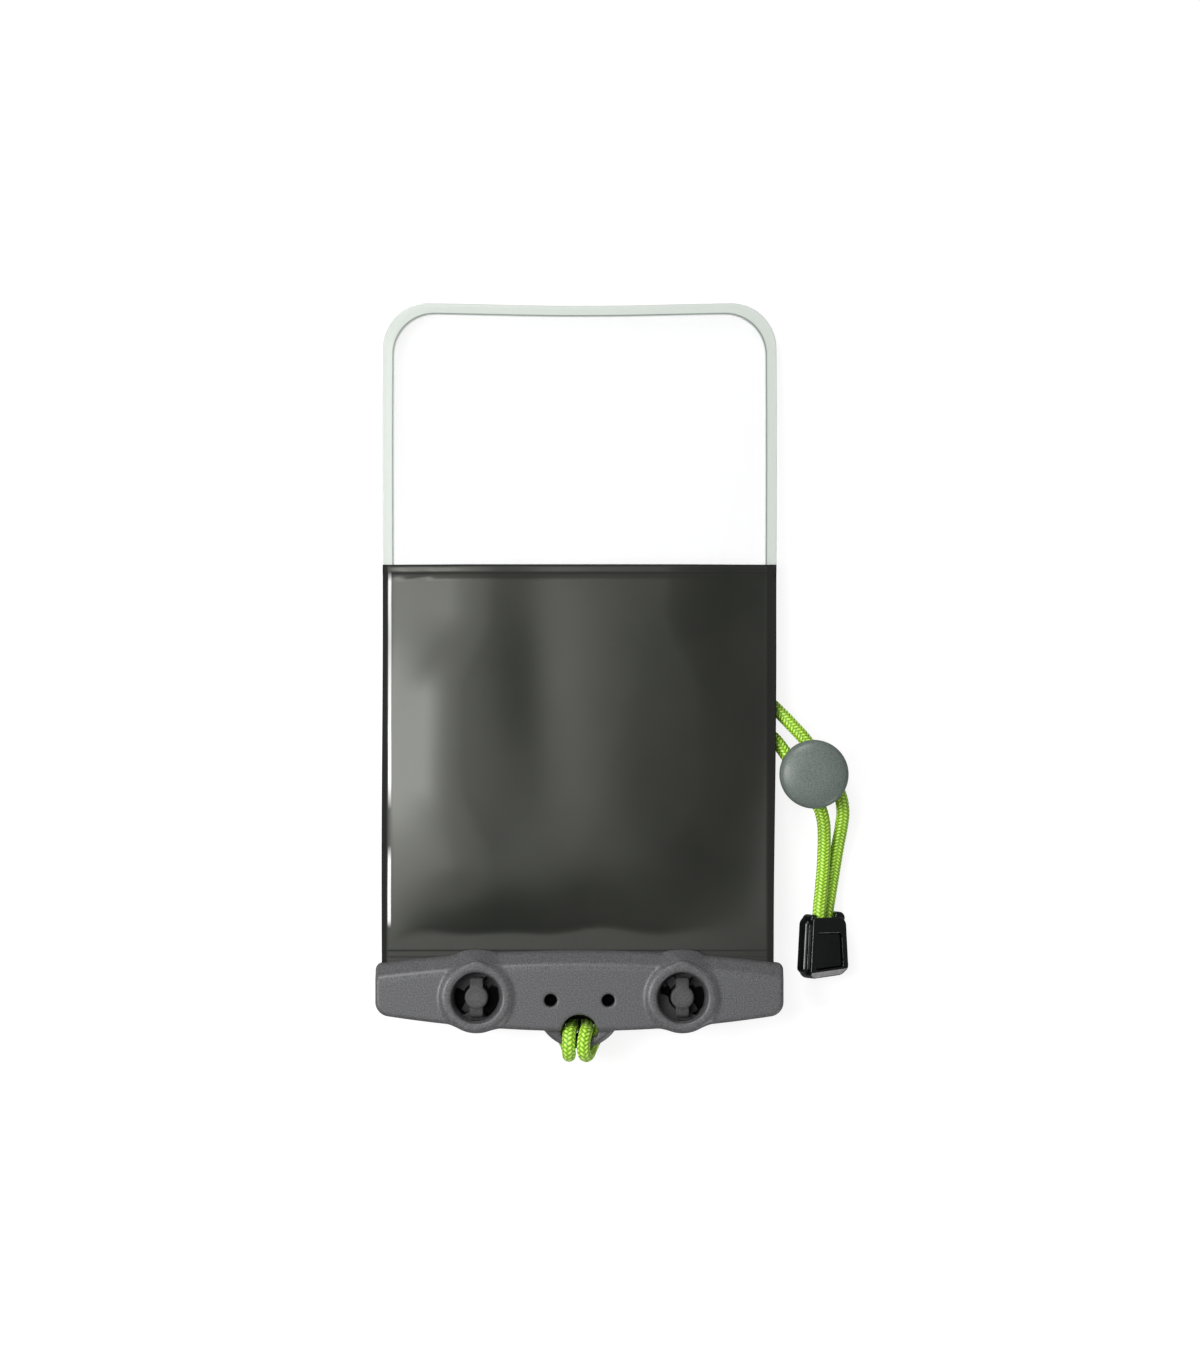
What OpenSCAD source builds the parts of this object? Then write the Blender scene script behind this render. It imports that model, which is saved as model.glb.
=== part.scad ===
/* [Pouch] */
// Length of the whole case, from the lanyard eye to the far end
case_len = 211.2; // [200:0.5:225]
// Width of the pouch across its welded edges
pouch_w = 112; // [104:0.5:120]
// Thickness of the film
film_t = 0.5; // [0.3:0.05:0.7]
// Width of the weld that joins the films round the edge
weld_w = 2.7; // [2:0.1:4]
// Width of the slope between the weld and the flat of the pouch
margin_w = 12.3; // [10:0.1:15]
// Depth of the front film below the weld
front_bulge = 3.8; // [2.5:0.1:4.2]
// Height of the back film above the weld
back_bulge = 4.8; // [3.5:0.1:6.5]
// Radius of the two far corners of the pouch
corner_r = 13; // [9:0.5:18]
// Radius of the pocket's own corners
pocket_corner_r = 7; // [4:0.5:9]
// Length of the grey panel, from the clip to its cross weld
panel_len = 109; // [80:0.5:130]
// Width of the cross weld, where the grey film lies on the clear one
lap_w = 2.7; // [2:0.1:5]
// Length of film held between the halves of the clip
tail_len = 4.7; // [4:0.1:6]

/* [Clip] */
// Distance from the clip's upper edge to the tip of the eye
clip_drop = 27.7; // [27:0.1:30]
// Height of the clip at its middle
clip_mid_h = 22.6; // [21.8:0.1:24]
// How far the middle of the upper edge stands out past its ends
clip_bow_top = 3.8; // [2.5:0.1:4.5]
// How far the middle of the lower edge stands out past its ends
clip_bow_low = 4.7; // [3:0.1:5.5]
// How far the clip runs past each side of the pouch
clip_overhang = 1.5; // [1:0.1:4]
// Radius of the lower corners
clip_corner_r = 3.4; // [2:0.1:5]
// Thickness of the front half
front_half_t = 6.3; // [5.5:0.1:8]
// Thickness of the back half
back_half_t = 6.1; // [5.6:0.1:8]
// Distance between the centres of the two small holes
hole_span = 16.2; // [14:0.1:20]
// Radius of each small hole
hole_r = 1.8; // [1.2:0.1:2.2]
// Distance from the upper edge to the small holes
hole_drop = 13.9; // [12:0.1:14.5]
// Thickness of the front half below the small holes
hole_floor_t = 2; // [1:0.1:3]

/* [Lanyard eye] */
// Outer radius of the eye
eye_r = 12.4; // [12:0.1:13.5]
// Width of the bar that the cord is hitched round
eye_bar_w = 2.6; // [2:0.1:3]
// Thickness of the eye
eye_t = 2.8; // [2.2:0.1:3.2]
// Radius of the upper part of the eye's hole
eye_hole_r = 5.1; // [4.8:0.1:5.6]
// Distance from the centre of the eye to the centre of its hole
eye_hole_drop = 7.7; // [7:0.1:8]
// Thickness of the front half's tongue below the hitch
tongue_t = 1.4; // [1:0.1:1.6]

/* [Turrets] */
// Distance of each turret from the middle
turret_x = 29; // [26:0.5:33]
// Distance from the upper edge of the clip to the turrets
turret_drop = 13.1; // [12.5:0.1:13.5]
// Radius of the raised rim
turret_r = 9.5; // [9:0.1:9.8]
// Radius of the well inside the rim
well_r = 7.1; // [6.6:0.1:7.4]
// Height of the rim above the back face
lip_h = 1; // [0.9:0.1:1.5]
// Thickness of the floor of the well
well_floor_t = 2.9; // [2.2:0.1:3.4]
// Radius of the foot of the turret
boss_r = 11.4; // [10.6:0.1:12]
// How far the foot is set towards the pouch
boss_shift = 1.7; // [1:0.1:2]
// Half the width of the foot's shoulder beside the pouch
boss_shoulder = 6; // [4:0.5:7]
// Direction of the keyhole slot, from the middle of the clip outwards
keyhole_angle = 35; // [25:1:50]
// Depth of the run-up where it leaves its keyhole slot
ramp_depth = 2.2; // [1:0.1:2.2]
// Angle that each run-up covers
ramp_sweep = 75; // [45:3:90]

/* [Levers] */
// Thickness of the lever's arm
lever_t = 4.7; // [4.5:0.1:6]
// Gap between the arm and the front half of the clip
lever_gap = 0.3; // [0.1:0.05:0.6]
// Radius of the disc round the shaft
hub_r = 9.2; // [7:0.1:9.4]
// Distance from the shaft to the centre of the arm's tip
lever_reach = 23.8; // [18:0.1:24]
// Radius of the arm's tip
lever_tip_r = 4.2; // [3:0.1:4.4]
// Bevel round the underside of the arm
lever_bevel = 0.8; // [0.4:0.1:1.4]
// Radius of the shaft
shaft_r = 3.3; // [2.6:0.1:3.6]
// Radial clearance of the shaft in the front half
shaft_fit = 0.08; // [0.04:0.01:0.1]
// Length of the nose that crosses the shaft
nose_len = 11.5; // [9.5:0.1:12]
// Width of the nose
nose_w = 3.4; // [2.6:0.1:3.8]
// Thickness of the nose
nose_t = 2.5; // [1.8:0.1:2.8]
// Gap between the nose and the floor of the well
nose_gap = 0.12; // [0.05:0.01:0.3]
// Clearance round the nose in a keyhole slot
nose_clear = 0.3; // [0.2:0.05:0.5]

/* [Lanyard] */
// Diameter of the braided cord
cord_d = 3.8; // [3:0.1:3.9]
// Clearance of the cord in the lock and the cord end
cord_clear = 0.15; // [0.1:0.05:0.3]

/* [Cord lock] */
// Distance of the lock from the middle of the case
lock_x = 66.2; // [66:0.1:70]
// Place of the lock along the case
lock_y = -28.2; // [-32:0.1:-24]
// Direction that the strands leave the lock in
lock_turn = -57.6; // [-65:0.1:-50]
// Distance between the two strands in the lock
strand_span = 6.9; // [6:0.1:7]
// Height of the strands in the lock
strand_z = 6; // [5.9:0.1:7]
// Radius of the barrel
barrel_r = 8.8; // [8.6:0.1:9.2]
// Height of the barrel
barrel_h = 12; // [11.6:0.1:14]
// Radius of the plunger's stem
stem_r = 6.8; // [6.5:0.1:6.9]
// Radial clearance of the stem in the barrel
stem_fit = 0.08; // [0.04:0.01:0.1]
// How far the plunger can be pressed
plunger_travel = 3; // [1.5:0.1:3]
// Radius of the button
button_r = 9.7; // [9.6:0.1:10.5]
// Thickness of the button
button_t = 2.7; // [2:0.1:4]
// Wall of the skirt that hangs from the button
skirt_t = 0.6; // [0.4:0.05:0.8]
// Height of the skirt
skirt_h = 4.1; // [3.4:0.1:4.4]
// Diameter of the spring's wire
wire_d = 0.8; // [0.5:0.05:0.9]
// Number of turns of the spring
spring_turns = 3; // [2:0.5:4]
// Depth of the spring's seat in the barrel
seat_depth = 2.8; // [2:0.1:3.2]

/* [Cord end] */
// Place of the cord end across the case
end_x = 68.9; // [68:0.1:70]
// Place of its upper edge along the case
end_y = -68.9; // [-70:0.1:-68]
// Length of the cord end
end_len = 17.6; // [16:0.1:22]
// Width at its upper edge
end_w_top = 11.6; // [11:0.1:14]
// Width at its lower edge
end_w_low = 13.6; // [12:0.1:17]
// How much shorter its right side is than its left
end_slant = 1.4; // [0:0.1:2]
// Thickness of the cord end
end_t = 7.2; // [7:0.1:8]
// Roll of the cord end on its long edge
end_roll = 24; // [18:1:28]
// Depth of the socket for the cord
socket_depth = 4; // [3.5:0.1:4]
// Thickness of the cover
cover_t = 1.2; // [0.8:0.1:1.6]
// How far the cover is set below the face
cover_drop = 0.5; // [0.2:0.1:0.8]
// Gap round the cover
cover_gap = 0.15; // [0.1:0.05:0.3]

/* [Hidden] */
$fn = 48;
smooth_fn = 32;
tiny = 0.01;

far_y = case_len / 2;
clip_top = clip_drop - case_len / 2;
clip_low = clip_top - clip_mid_h;
clip_half_w = pouch_w / 2 + clip_overhang;
tail_y = clip_top - tail_len;
bend_y = clip_top + 0.1;
lap_y1 = clip_top + panel_len;
lap_y0 = lap_y1 - lap_w;

clip_under = lever_t + lever_gap;
split_z = clip_under + front_half_t;
face_z = split_z + back_half_t;
well_z = split_z + well_floor_t;
turret_y = clip_top - turret_drop;
eye_y = eye_r - case_len / 2;
hole_y = clip_top - hole_drop;
hitch_r = eye_hole_r + 3.9;

pocket_inset = weld_w + margin_w;
pouch_slope = (split_z - film_t - front_bulge) / (far_y - pocket_inset - bend_y);

cord_r = cord_d / 2;
seat_z = barrel_h - seat_depth;
button_z = barrel_h + plunger_travel + 0.3;
slot_low = strand_z - cord_r - 0.05;
slot_high = strand_z + cord_r + cord_clear + plunger_travel;
stem_web = 1;
stem_low = slot_low - stem_web;

clear_colour = [0.86, 0.91, 0.87, 0.45];
panel_colour = "#4A4C49";
clip_colour = "#5F6061";
lever_colour = "#6A6B6A";
cord_colour = "#8EC63F";
lock_colour = "#707A75";
end_colour = "#15191A";

// Route of strand a, from the middle of the hitch to the cord end
ROUTE_A = [
    [0, -95.6, 9], [-1.4, -95.6, 9], [-4.6, -96.5, 9], [-6.4, -98.8, 9], [-6.3, -101.3, 8.8], [-5.1, -103.5, 8.8],
    [-3.8, -105.6, 9.3], [-3.1, -107.3, 11], [-2.9, -107.6, 13.4], [-2.9, -106.2, 15.7], [-2.9, -103.8, 16.5],
    [-2.8, -101.4, 15.5], [-2.7, -100.2, 13], [-2.5, -100, 10], [-2.1, -99.6, 7], [-1.95, -98.1, 4.3],
    [-2.1, -95, 2.6], [-2.4, -90, 2], [-2.4, -80, 1.95], [-2, -68, 1.95], [-0.6, -56, 1.95], [2.4, -44, 1.95],
    [7.4, -33, 1.95], [14.5, -23.5, 1.95], [23.5, -16, 1.95], [33, -10.2, 1.95], [41.5, -6.2, 1.95], [48, -5, 2.2],
    [52.6, -7, 3.2], [56.4, -10.4, 4.6], [60.3, -14.4, 5.6], [64.5, -19.1, 6], [69.1, -26.35, 6],
    [73.7, -33.6, 6], [74.8, -38.6, 5], [74.4, -43.5, 3.6], [73.5, -48.5, 2.6], [72.1, -57, 2.4],
    [71, -63.4, 3.6], [70.35, -67.4, 4.35], [70.3, -70, 4.4], [70.3, -72.9, 4.4]
];

// Route of strand b, beside strand a
ROUTE_B = [
    [0, -95.6, 9], [1.4, -95.6, 9], [4.6, -96.5, 9], [6.4, -98.8, 9], [6.2, -101.3, 8.7], [5, -103.6, 8.5],
    [3.8, -105.7, 8.9], [2.7, -107.5, 10.7], [1.8, -107.9, 13.2], [1.3, -106.4, 15.6], [1.2, -103.9, 16.5],
    [1.6, -101.4, 15.6], [2.2, -100.1, 13.2], [2.5, -99.9, 10.2], [2.1, -99.6, 7], [1.95, -98.1, 4.3],
    [2.1, -95, 2.6], [2.4, -90, 2], [2.4, -80, 1.95], [2.9, -68, 1.95], [4.3, -56.5, 1.95], [7.2, -45.5, 1.95],
    [11.8, -35.8, 1.95], [18.4, -27.6, 1.95], [27, -20.9, 1.95], [36.5, -15.9, 1.95], [44.5, -13.6, 2.2],
    [50.5, -14.8, 3.5], [55.2, -18.3, 5], [58.7, -22.8, 6], [63.3, -30.05, 6], [67.9, -37.3, 6],
    [69.2, -41.5, 5.8], [69.5, -46.5, 5.5], [69.2, -54.5, 5.6], [68.5, -62, 6.7], [67.95, -67.4, 7.55],
    [67.9, -70, 7.6], [67.9, -72.9, 7.6]
];

function quarter(cx, cy, r, from, n) =
    [for (i = [0:n - 1]) [cx + r * cos(from + 90 * i / (n - 1)), cy + r * sin(from + 90 * i / (n - 1))]];

// Outline of the pouch, moved in by side on its sides and far end, and by mouth at the clip
function pouch_outline(side, mouth) =
    let (
        w = pouch_w / 2 - side,
        far = far_y - side,
        low = tail_y + mouth,
        share = side / pocket_inset,
        rf = corner_r + (pocket_corner_r - corner_r) * share,
        rm = 0.8 + 4.2 * share,
        turn = low < bend_y ? bend_y : low + rm + 1
    )
    concat(
        quarter(w - rm, low + rm, rm, -90, 4),
        [[w, turn]],
        quarter(w - rf, far - rf, rf, 0, 7),
        quarter(rf - w, far - rf, rf, 90, 7),
        [[-w, turn]],
        quarter(rm - w, low + rm, rm, 180, 4)
    );

function weld_z(y) = split_z - max(0, y - bend_y) * pouch_slope;

// Each ring of a film: how far in it lies at the sides and at the mouth, and its share of the bulge
slope_steps = 5;
film_rings = concat(
    [[0, 0, 0]],
    [for (i = [0:slope_steps])
        let (t = i / slope_steps)
        [weld_w + margin_w * t, bend_y - tail_y + margin_w * t, t * t * (3 - 2 * t)]]
);

// One film of the pouch, between the heights low and high above its weld face
module film(side, bulge, low, high) {
    upper = side > 0 ? high : -low;
    lower = side > 0 ? low : -high;
    plan = [for (r = film_rings) pouch_outline(r[0], r[1])];
    rings = len(plan);
    n = len(plan[0]);
    function skin(lift) =
        [for (k = [0:rings - 1]) for (p = plan[k])
            [p[0], p[1], weld_z(p[1]) + side * film_rings[k][2] * bulge + lift]];
    function at(k, i) = k * n + i % n;
    under = rings * n;
    faces = concat(
        [for (k = [0:rings - 2]) for (i = [0:n - 1]) [at(k, i), at(k + 1, i), at(k + 1, i + 1)]],
        [for (k = [0:rings - 2]) for (i = [0:n - 1]) [at(k, i), at(k + 1, i + 1), at(k, i + 1)]],
        [[for (i = [n - 1:-1:0]) at(rings - 1, i)]],
        [for (k = [0:rings - 2]) for (i = [0:n - 1])
            [under + at(k, i), under + at(k + 1, i + 1), under + at(k + 1, i)]],
        [for (k = [0:rings - 2]) for (i = [0:n - 1])
            [under + at(k, i), under + at(k, i + 1), under + at(k + 1, i + 1)]],
        [[for (i = [0:n - 1]) under + at(rings - 1, i)]],
        [for (i = [0:n - 1]) [at(0, i), at(0, i + 1), under + at(0, i + 1)]],
        [for (i = [0:n - 1]) [at(0, i), under + at(0, i + 1), under + at(0, i)]]
    );
    polyhedron(points = concat(skin(upper), skin(lower)), faces = faces);
}

// The stretch of the back film between two places along the case
module back_stretch(from, to, low, high) {
    intersection() {
        film(1, back_bulge, low, high);
        translate([-pouch_w, from, -10]) cube([2 * pouch_w, to - from, 60]);
    }
}

module front_film() {
    color(clear_colour) film(-1, front_bulge, 0, film_t);
}

module back_window() {
    color(clear_colour) back_stretch(lap_y0, far_y + 1, 0, film_t);
}

module back_panel() {
    color(panel_colour) union() {
        back_stretch(tail_y - 1, lap_y0, 0, film_t);
        back_stretch(lap_y0 - film_t, lap_y0, 0, 2 * film_t);
        back_stretch(lap_y0 - film_t, lap_y1, film_t, 2 * film_t);
    }
}

function clip_upper_edge(x) = clip_top - clip_bow_top * pow(x / clip_half_w, 2);
function clip_lower_edge(x) = clip_low + clip_bow_low * pow(x / clip_half_w, 2);

// Plan of the clip, moved in by top at the upper edge, low at the lower edge and side at the ends
module clip_plan(top, low, side) {
    half = clip_half_w - side;
    low_x = half - clip_corner_r;
    top_r = 1.5;
    top_x = half - top_r;
    steps = 8;
    polygon(concat(
        [for (i = [0:steps]) let (x = -low_x + 2 * low_x * i / steps) [x, clip_lower_edge(x) + low]],
        quarter(low_x, clip_lower_edge(low_x) + low + clip_corner_r, clip_corner_r, -90, 5),
        quarter(top_x, clip_upper_edge(top_x) - top - top_r, top_r, 0, 4),
        [for (i = [0:steps]) let (x = top_x - 2 * top_x * i / steps) [x, clip_upper_edge(x) - top]],
        quarter(-top_x, clip_upper_edge(top_x) - top - top_r, top_r, 90, 4),
        quarter(-low_x, clip_lower_edge(low_x) + low + clip_corner_r, clip_corner_r, 180, 5)
    ));
}

// A half of the clip, from its split face outwards: a bevelled bar with a foot for each turret
module clip_half(thickness) {
    hull() {
        linear_extrude(thickness - 3.8) clip_plan(0, 0, 0);
        translate([0, 0, thickness - 1.8]) linear_extrude(tiny) clip_plan(1.1, 0.1, 0.2);
        translate([0, 0, thickness - 0.5]) linear_extrude(tiny) clip_plan(2.6, 0.5, 0.7);
        translate([0, 0, thickness - tiny]) linear_extrude(tiny) clip_plan(3.8, 1, 1.3);
    }
    for (s = [-1, 1]) hull() {
        translate([s * turret_x, turret_y + boss_shift, 0]) cylinder(h = 2, r = boss_r, $fn = smooth_fn);
        for (w = [-1, 1]) translate([s * turret_x + w * boss_shoulder, turret_y + boss_r - 0.8, 0])
            cylinder(h = 2, r = 2, $fn = smooth_fn);
        translate([s * turret_x, turret_y, thickness - tiny])
            cylinder(h = tiny, r = turret_r + 0.25, $fn = smooth_fn);
    }
}

// The room for the films' tails, between two heights
module tail_room(low, high) {
    translate([-pouch_w / 2, tail_y, low]) cube([pouch_w, tail_len + 4, high - low]);
}

module small_holes() {
    for (s = [-1, 1]) translate([s * hole_span / 2, hole_y, clip_under + hole_floor_t]) cylinder(h = 40, r = hole_r);
}

// The way through a half for a nose that is turned to the given angle
module nose_way(angle, z, h) {
    length = nose_len + 2 * nose_clear;
    width = nose_w + 2 * nose_clear;
    translate([0, 0, z]) rotate([0, 0, angle]) translate([-length / 2, -width / 2, 0]) cube([length, width, h]);
}

// The front half, with a pocket and a tongue for the hitch, and a slot that the strands leave through
module clip_front() {
    strand_slot = 2 * cord_d + 2 * cord_clear + 1.4;
    color(clip_colour) difference() {
        union() {
            translate([0, 0, split_z]) mirror([0, 0, 1]) clip_half(front_half_t);
            translate([0, eye_y, clip_under]) cylinder(h = tongue_t, r = eye_r - 0.6);
        }
        tail_room(split_z - film_t - 0.02, split_z + 1);
        small_holes();
        translate([0, eye_y - eye_hole_drop - 0.6, clip_under + tongue_t]) cylinder(h = 40, r = hitch_r);
        translate([-strand_slot / 2, eye_y - 9.5, 0]) cube([strand_slot, 8.6, 20]);
        for (s = [-1, 1]) translate([s * turret_x, turret_y, 0]) {
            cylinder(h = 40, r = shaft_r + shaft_fit);
            nose_way(90 + s * 30, 0, 40);
        }
    }
}

// The rounded bar along the edge of the eye
module eye_bar() {
    edge = min(eye_bar_w, eye_t) / 2 - 0.2;
    translate([0, eye_y, split_z]) rotate([0, 0, 180]) rotate_extrude(angle = 180)
        translate([eye_r - eye_bar_w, 0]) {
            translate([edge, 0]) square([eye_bar_w - 2 * edge, eye_t]);
            translate([0, edge]) square([eye_bar_w, eye_t - 2 * edge]);
            for (x = [edge, eye_bar_w - edge]) for (y = [edge, eye_t - edge]) translate([x, y]) circle(r = edge);
        }
}

// The raised rim of a turret, with a soft outer shoulder
module turret_lip() {
    rotate_extrude() polygon([
        [well_r, -1], [turret_r, -1], [turret_r, lip_h - 0.8], [turret_r - 0.25, lip_h - 0.4],
        [turret_r - 0.7, lip_h - 0.1], [turret_r - 1.2, lip_h], [well_r + 0.3, lip_h], [well_r, lip_h - 0.3]
    ]);
}

// The well of a turret, its keyhole and the run-up beside each end of the keyhole, in three nested steps
module turret_well(angle, turn) {
    cylinder(h = 40, r = well_r);
    translate([0, 0, split_z - well_z - 1]) cylinder(h = 20, r = shaft_r + nose_clear);
    nose_way(angle, split_z - well_z - 1, 20);
    for (end = [0, 180]) for (i = [0:2]) {
        start = 6 + 3 * i;
        stop = (i + 1) * ramp_sweep / 3;
        from = angle + end + (turn > 0 ? start : -stop);
        near = shaft_r - 0.2 * i;
        far = nose_len / 2 + nose_clear - 0.1 * i;
        rotate([0, 0, from]) rotate_extrude(angle = stop - start) translate([near, -ramp_depth * (3 - i) / 3])
            square([far - near, 2 * ramp_depth]);
    }
}

module clip_back() {
    chamfer = 0.4;
    color(clip_colour) union() {
        difference() {
            union() {
                translate([0, 0, split_z]) clip_half(back_half_t);
                for (s = [-1, 1]) translate([s * turret_x, turret_y, face_z]) turret_lip();
                translate([0, eye_y, split_z]) cylinder(h = eye_t, r = eye_r - eye_bar_w / 2);
            }
            tail_room(split_z - 1, split_z + film_t);
            small_holes();
            for (s = [-1, 1]) translate([s * hole_span / 2, hole_y, face_z - chamfer])
                cylinder(h = 2 * chamfer, r1 = hole_r, r2 = hole_r + 2 * chamfer);
            translate([0, eye_y - eye_hole_drop, 0]) cylinder(h = 40, r = eye_hole_r);
            translate([-turret_x, turret_y, well_z]) turret_well(keyhole_angle, -1);
            translate([turret_x, turret_y, well_z]) turret_well(180 - keyhole_angle, 1);
        }
        eye_bar();
    }
}

// A lever with its arm along +X and its nose along Y
module lever() {
    nose_z = well_z + nose_gap;
    difference() {
        hull() {
            translate([0, 0, lever_bevel]) cylinder(h = lever_t - lever_bevel, r = hub_r, $fn = smooth_fn);
            cylinder(h = tiny, r = hub_r - lever_bevel, $fn = smooth_fn);
            translate([lever_reach, 0, lever_bevel])
                cylinder(h = lever_t - lever_bevel, r = lever_tip_r, $fn = smooth_fn);
            translate([lever_reach, 0, 0]) cylinder(h = tiny, r = lever_tip_r - lever_bevel, $fn = smooth_fn);
        }
        for (i = [0:3]) translate([lever_reach - 7.5 + 2.4 * i, -10, -1]) cube([1, 20, 1.5]);
    }
    translate([0, 0, lever_t - 1]) cylinder(h = nose_z + nose_t + 0.3 - lever_t + 1, r = shaft_r);
    translate([-nose_w / 2, 0, nose_z]) rotate([90, 0, 90]) linear_extrude(nose_w) polygon([
        [-nose_len / 2, 0], [nose_len / 2, 0], [nose_len / 2, nose_t - 0.9],
        [nose_len / 2 - 0.9, nose_t], [0.5 - nose_len / 2, nose_t], [-nose_len / 2, nose_t - 0.5]
    ]);
}

module lever_left() {
    color(lever_colour) translate([-turret_x, turret_y, 0]) mirror([1, 0, 0]) lever();
}

module lever_right() {
    color(lever_colour) translate([turret_x, turret_y, 0]) lever();
}

function unit(v) = v / norm(v);

// Directions along a route, and a normal carried from point to point without twist
function route_directions(p) =
    [for (i = [0:len(p) - 1]) unit(p[min(i + 1, len(p) - 1)] - p[max(i - 1, 0)])];
function carried(t, i = 0, n = []) =
    i == len(t) ? n :
    let (last = i == 0 ? [0, 0, 1] : n[i - 1])
    carried(t, i + 1, concat(n, [unit(last - t[i] * (last * t[i]))]));

// A round bar of radius r swept along the points p
module sweep(p, r, sides) {
    t = route_directions(p);
    n = carried(t);
    last = len(p) - 1;
    points = [for (i = [0:last]) for (j = [0:sides - 1])
        p[i] + r * (cos(360 * j / sides) * n[i] + sin(360 * j / sides) * cross(t[i], n[i]))];
    faces = concat(
        [[for (j = [0:sides - 1]) j]],
        [for (i = [0:last - 1]) for (j = [0:sides - 1])
            [i * sides + j, (i + 1) * sides + j, (i + 1) * sides + (j + 1) % sides]],
        [for (i = [0:last - 1]) for (j = [0:sides - 1])
            [i * sides + j, (i + 1) * sides + (j + 1) % sides, i * sides + (j + 1) % sides]],
        [[for (j = [sides - 1:-1:0]) last * sides + j]]
    );
    polyhedron(points = points, faces = faces);
}

module lanyard_cord_a() {
    color(cord_colour) sweep(ROUTE_A, cord_r, 8);
}

module lanyard_cord_b() {
    color(cord_colour) sweep(ROUTE_B, cord_r, 8);
}

// Puts its children at the lock, with X along the strands
module at_lock() {
    translate([lock_x, lock_y, 0]) rotate([0, 0, lock_turn]) children();
}

module cord_lock_barrel() {
    tunnel_r = cord_r + cord_clear;
    color(lock_colour) at_lock() difference() {
        cylinder(h = barrel_h, r = barrel_r);
        translate([0, 0, -1]) cylinder(h = barrel_h + 2, r = stem_r + stem_fit);
        translate([0, 0, seat_z]) cylinder(h = barrel_h, r = barrel_r - skirt_t);
        for (s = [-1, 1]) translate([-barrel_r - 1, s * strand_span / 2, strand_z]) rotate([0, 90, 0])
            cylinder(h = 2 * barrel_r + 2, r = tunnel_r);
    }
}

module cord_lock_plunger() {
    edge = 1.3;
    slot_w = cord_d + 2 * cord_clear;
    color(lock_colour) at_lock() difference() {
        union() {
            translate([0, 0, stem_low]) cylinder(h = button_z - stem_low + tiny, r = stem_r);
            translate([0, 0, button_z]) rotate_extrude() {
                square([button_r - edge, button_t]);
                square([button_r, button_t - edge]);
                translate([button_r - edge, button_t - edge]) circle(r = edge);
            }
            translate([0, 0, button_z - skirt_h]) difference() {
                cylinder(h = skirt_h + tiny, r = button_r);
                translate([0, 0, -1]) cylinder(h = skirt_h + 1, r = button_r - skirt_t);
            }
        }
        for (s = [-1, 1]) translate([-stem_r - 1, s * strand_span / 2 - slot_w / 2, slot_low])
            cube([2 * stem_r + 2, slot_w, slot_high - slot_low]);
    }
}

module cord_lock_spring() {
    coil_r = (stem_r + barrel_r - skirt_t) / 2;
    low = seat_z + wire_d / 2 + 0.05;
    high = button_z - wire_d / 2 - 0.05;
    steps = 20 * spring_turns;
    route = [for (i = [0:steps])
        let (a = 360 * spring_turns * i / steps)
        [coil_r * cos(a), coil_r * sin(a), low + (high - low) * i / steps]];
    color("silver") at_lock() sweep(route, wire_d / 2, 8);
}

end_z = end_w_low / 2 * sin(end_roll) + end_t / 2 * cos(end_roll);

// Puts its children at the cord end, with Y towards the cord and Z out of the cover
module at_end() {
    translate([end_x, end_y, end_z]) rotate([0, end_roll, 0]) children();
}

function end_half_w(y) = (end_w_top + (end_w_low - end_w_top) * -y / end_len) / 2;

// Plan of the cord end or of its cover, moved in by inset, between two places along it
module end_plan(from, to, inset) {
    polygon([
        [-end_half_w(to) + inset, to], [end_half_w(to) - inset, to + end_slant],
        [end_half_w(from) - inset, from], [-end_half_w(from) + inset, from]
    ]);
}

cover_from = -socket_depth - 0.4;
cover_to = 1.6 - end_len;
cover_inset = 1.7;

module cord_end_body() {
    bevel = 0.9;
    ear_r = 1.5;
    lip = 1.4;
    color(end_colour) difference() {
        at_end() union() {
            hull() {
                translate([0, 0, -end_t / 2]) linear_extrude(tiny) end_plan(-bevel, bevel - end_len, bevel);
                translate([0, 0, bevel - end_t / 2]) linear_extrude(end_t - 2 * bevel) end_plan(0, -end_len, 0);
                translate([0, 0, end_t / 2 - tiny]) linear_extrude(tiny) end_plan(-bevel, lip - end_len, bevel);
            }
            for (s = [-1, 1]) translate([s * (end_w_top / 2 - ear_r - 0.4), -0.4, 0])
                cylinder(h = end_t - 2 * bevel, r = ear_r, center = true);
        }
        at_end() translate([0, 0, end_t / 2 - cover_drop - cover_t]) linear_extrude(10)
            end_plan(cover_from, cover_to, cover_inset);
        hull() for (p = [ROUTE_A[len(ROUTE_A) - 1], ROUTE_B[len(ROUTE_B) - 1]])
            translate([p[0], end_y - socket_depth, p[2]]) rotate([-90, 0, 0])
                cylinder(h = 20, r = cord_r + cord_clear, $fn = smooth_fn);
    }
}

module cord_end_cover() {
    color(end_colour) at_end() translate([0, 0, end_t / 2 - cover_drop - cover_t])
        linear_extrude(cover_t) end_plan(cover_from - cover_gap, cover_to + cover_gap, cover_inset + cover_gap);
}

front_film();
back_window();
back_panel();
clip_front();
clip_back();
lever_left();
lever_right();
lanyard_cord_a();
lanyard_cord_b();
cord_lock_barrel();
cord_lock_plunger();
cord_lock_spring();
cord_end_body();
cord_end_cover();
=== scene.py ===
# Waterproof phone case: a welded film pouch in a twist-lock clip, on a braided wrist lanyard
import math

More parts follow.
